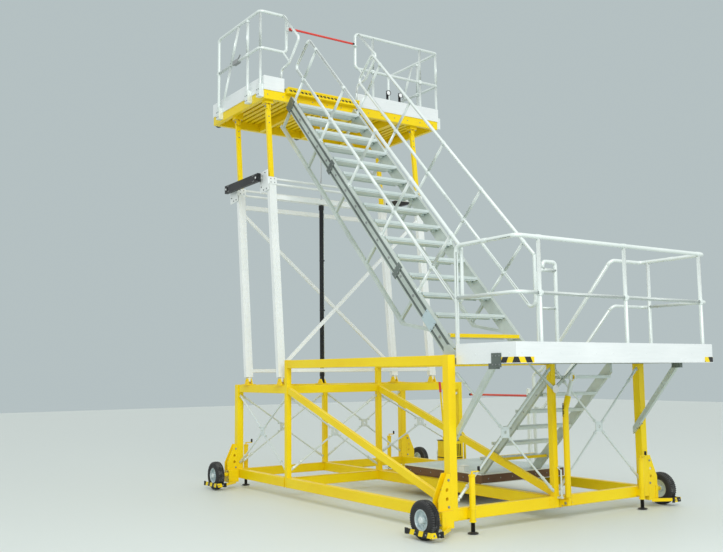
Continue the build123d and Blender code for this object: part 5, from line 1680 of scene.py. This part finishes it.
def makeTowHead(s):
    y = s["y"]
    end = Vector((s["tubeEnd"][0], y, s["tubeEnd"][1]))
    eye = Vector((s["eye"][0], y, s["eye"][1]))
    way = (eye - end).normalized()
    bm = bmesh.new()
    # a pale sleeve over the shank, the nut at its foot and the rolled rim of the eye
    tube(bm, [end, end + way * 172], 21.5, 20)
    turned(bm, [(-8, 0), (-8, 31), (10, 31), (14, 24), (14, 0)], end, way, 6)
    rim = [(-14, 24.2), (-14, 44), (-10, 48), (10, 48), (14, 44), (14, 24.2), (-14, 24.2)]
    turned(bm, rim, eye, (0, 1, 0), 36)
    makePiece("towHead", bm, "tow_bar", "whiteRail", 0.5)


def makeTowChain(s):
    # short chain that holds the stowed bar: every other link is turned a quarter
    x, y = s["x"] - 34, s["y"]
    bm = bmesh.new()
    for k in range(s["links"]):
        z = s["chainZ"] + k * 26
        link = []
        for j in range(12):
            side, over = 9 * math.cos(around(j, 12)), 17 * math.sin(around(j, 12))
            link.append((x, y + side, z + over) if k % 2 else (x + side, y, z + over))
        tube(bm, link, 3, 6, True)
    makePiece("towChain", bm, "tow_bar", "blackPaintAndSlotShade", 0)


def makeTowLug(s):
    x, z = s["x"], s["lugZ"]
    bm = bmesh.new()
    for dz in (-32, 32):
        for dx in (-32, 32):
            bolt(bm, (x + dx, s["lugFace"], z + dz), (0, -1, 0), 6)
    for way in (-1, 1):
        knob(bm, (x + way * 42, s["y"], z), (way, 0, 0), 15, 8, (2, 5), 18)
    makePiece("towLugBolts", bm, "chassis", "boltSteel", 0)


makeBarCaps(barTrim)
makeTowHead(towTrim)
makeTowChain(towTrim)
makeTowLug(towTrim)
print("bars dressed")


# floor, light and world

studio = {
    "floor": (0.70, 0.75, 0.72),
    "floorHalf": 30.0,
    "floorRough": 0.55,
    "world": (0.90, 0.95, 0.95),
    "worldStrength": 0.85,
    "backdrop": (0.46, 0.53, 0.54),
    "keyPower": 640.0,
    "keySize": 6.0,
    "keyPlace": (-4.5, -9.5, 8.5),
    "keyAim": (0.0, 0.0, 2.0),
}


def makeFloor(s):
    h = s["floorHalf"]
    bm = bmesh.new()
    bm.faces.new([bm.verts.new((x, y, 0.0)) for x, y in ((-h, -h), (h, -h), (h, h), (-h, h))])
    mesh = bpy.data.meshes.new("studioFloor")
    bm.to_mesh(mesh)
    bm.free()
    floor = bpy.data.objects.new("studioFloor", mesh)
    scene.collection.objects.link(floor)
    material = bpy.data.materials.new("floorPaint")
    material.use_nodes = True
    shader = material.node_tree.nodes["Principled BSDF"]
    shader.inputs["Base Color"].default_value = (*s["floor"], 1.0)
    shader.inputs["Roughness"].default_value = s["floorRough"]
    mesh.materials.append(material)


def makeWorld(s):
    # the camera sees a darker backdrop than the light that the pieces get
    world = bpy.data.worlds.new("paleWorld")
    world.use_nodes = True
    tree = world.node_tree
    sky = tree.nodes["Background"]
    sky.inputs[0].default_value = (*s["world"], 1.0)
    sky.inputs[1].default_value = s["worldStrength"]
    seen = tree.nodes.new("ShaderNodeBackground")
    seen.inputs[0].default_value = (*s["backdrop"], 1.0)
    choose = tree.nodes.new("ShaderNodeMixShader")
    tree.links.new(tree.nodes.new("ShaderNodeLightPath").outputs["Is Camera Ray"], choose.inputs[0])
    tree.links.new(sky.outputs[0], choose.inputs[1])
    tree.links.new(seen.outputs[0], choose.inputs[2])
    tree.links.new(choose.outputs[0], tree.nodes["World Output"].inputs[0])
    scene.world = world


def makeKeyLight(s):
    lamp = bpy.data.lights.new("keyLight", "AREA")
    lamp.energy = s["keyPower"]
    lamp.size = s["keySize"]
    key = bpy.data.objects.new("keyLight", lamp)
    key.location = s["keyPlace"]
    key.rotation_euler = (Vector(s["keyAim"]) - Vector(s["keyPlace"])).to_track_quat("-Z", "Y").to_euler()
    scene.collection.objects.link(key)


makeFloor(studio)
makeWorld(studio)
makeKeyLight(studio)
scene.view_settings.view_transform = "Standard"
print("studio ready")
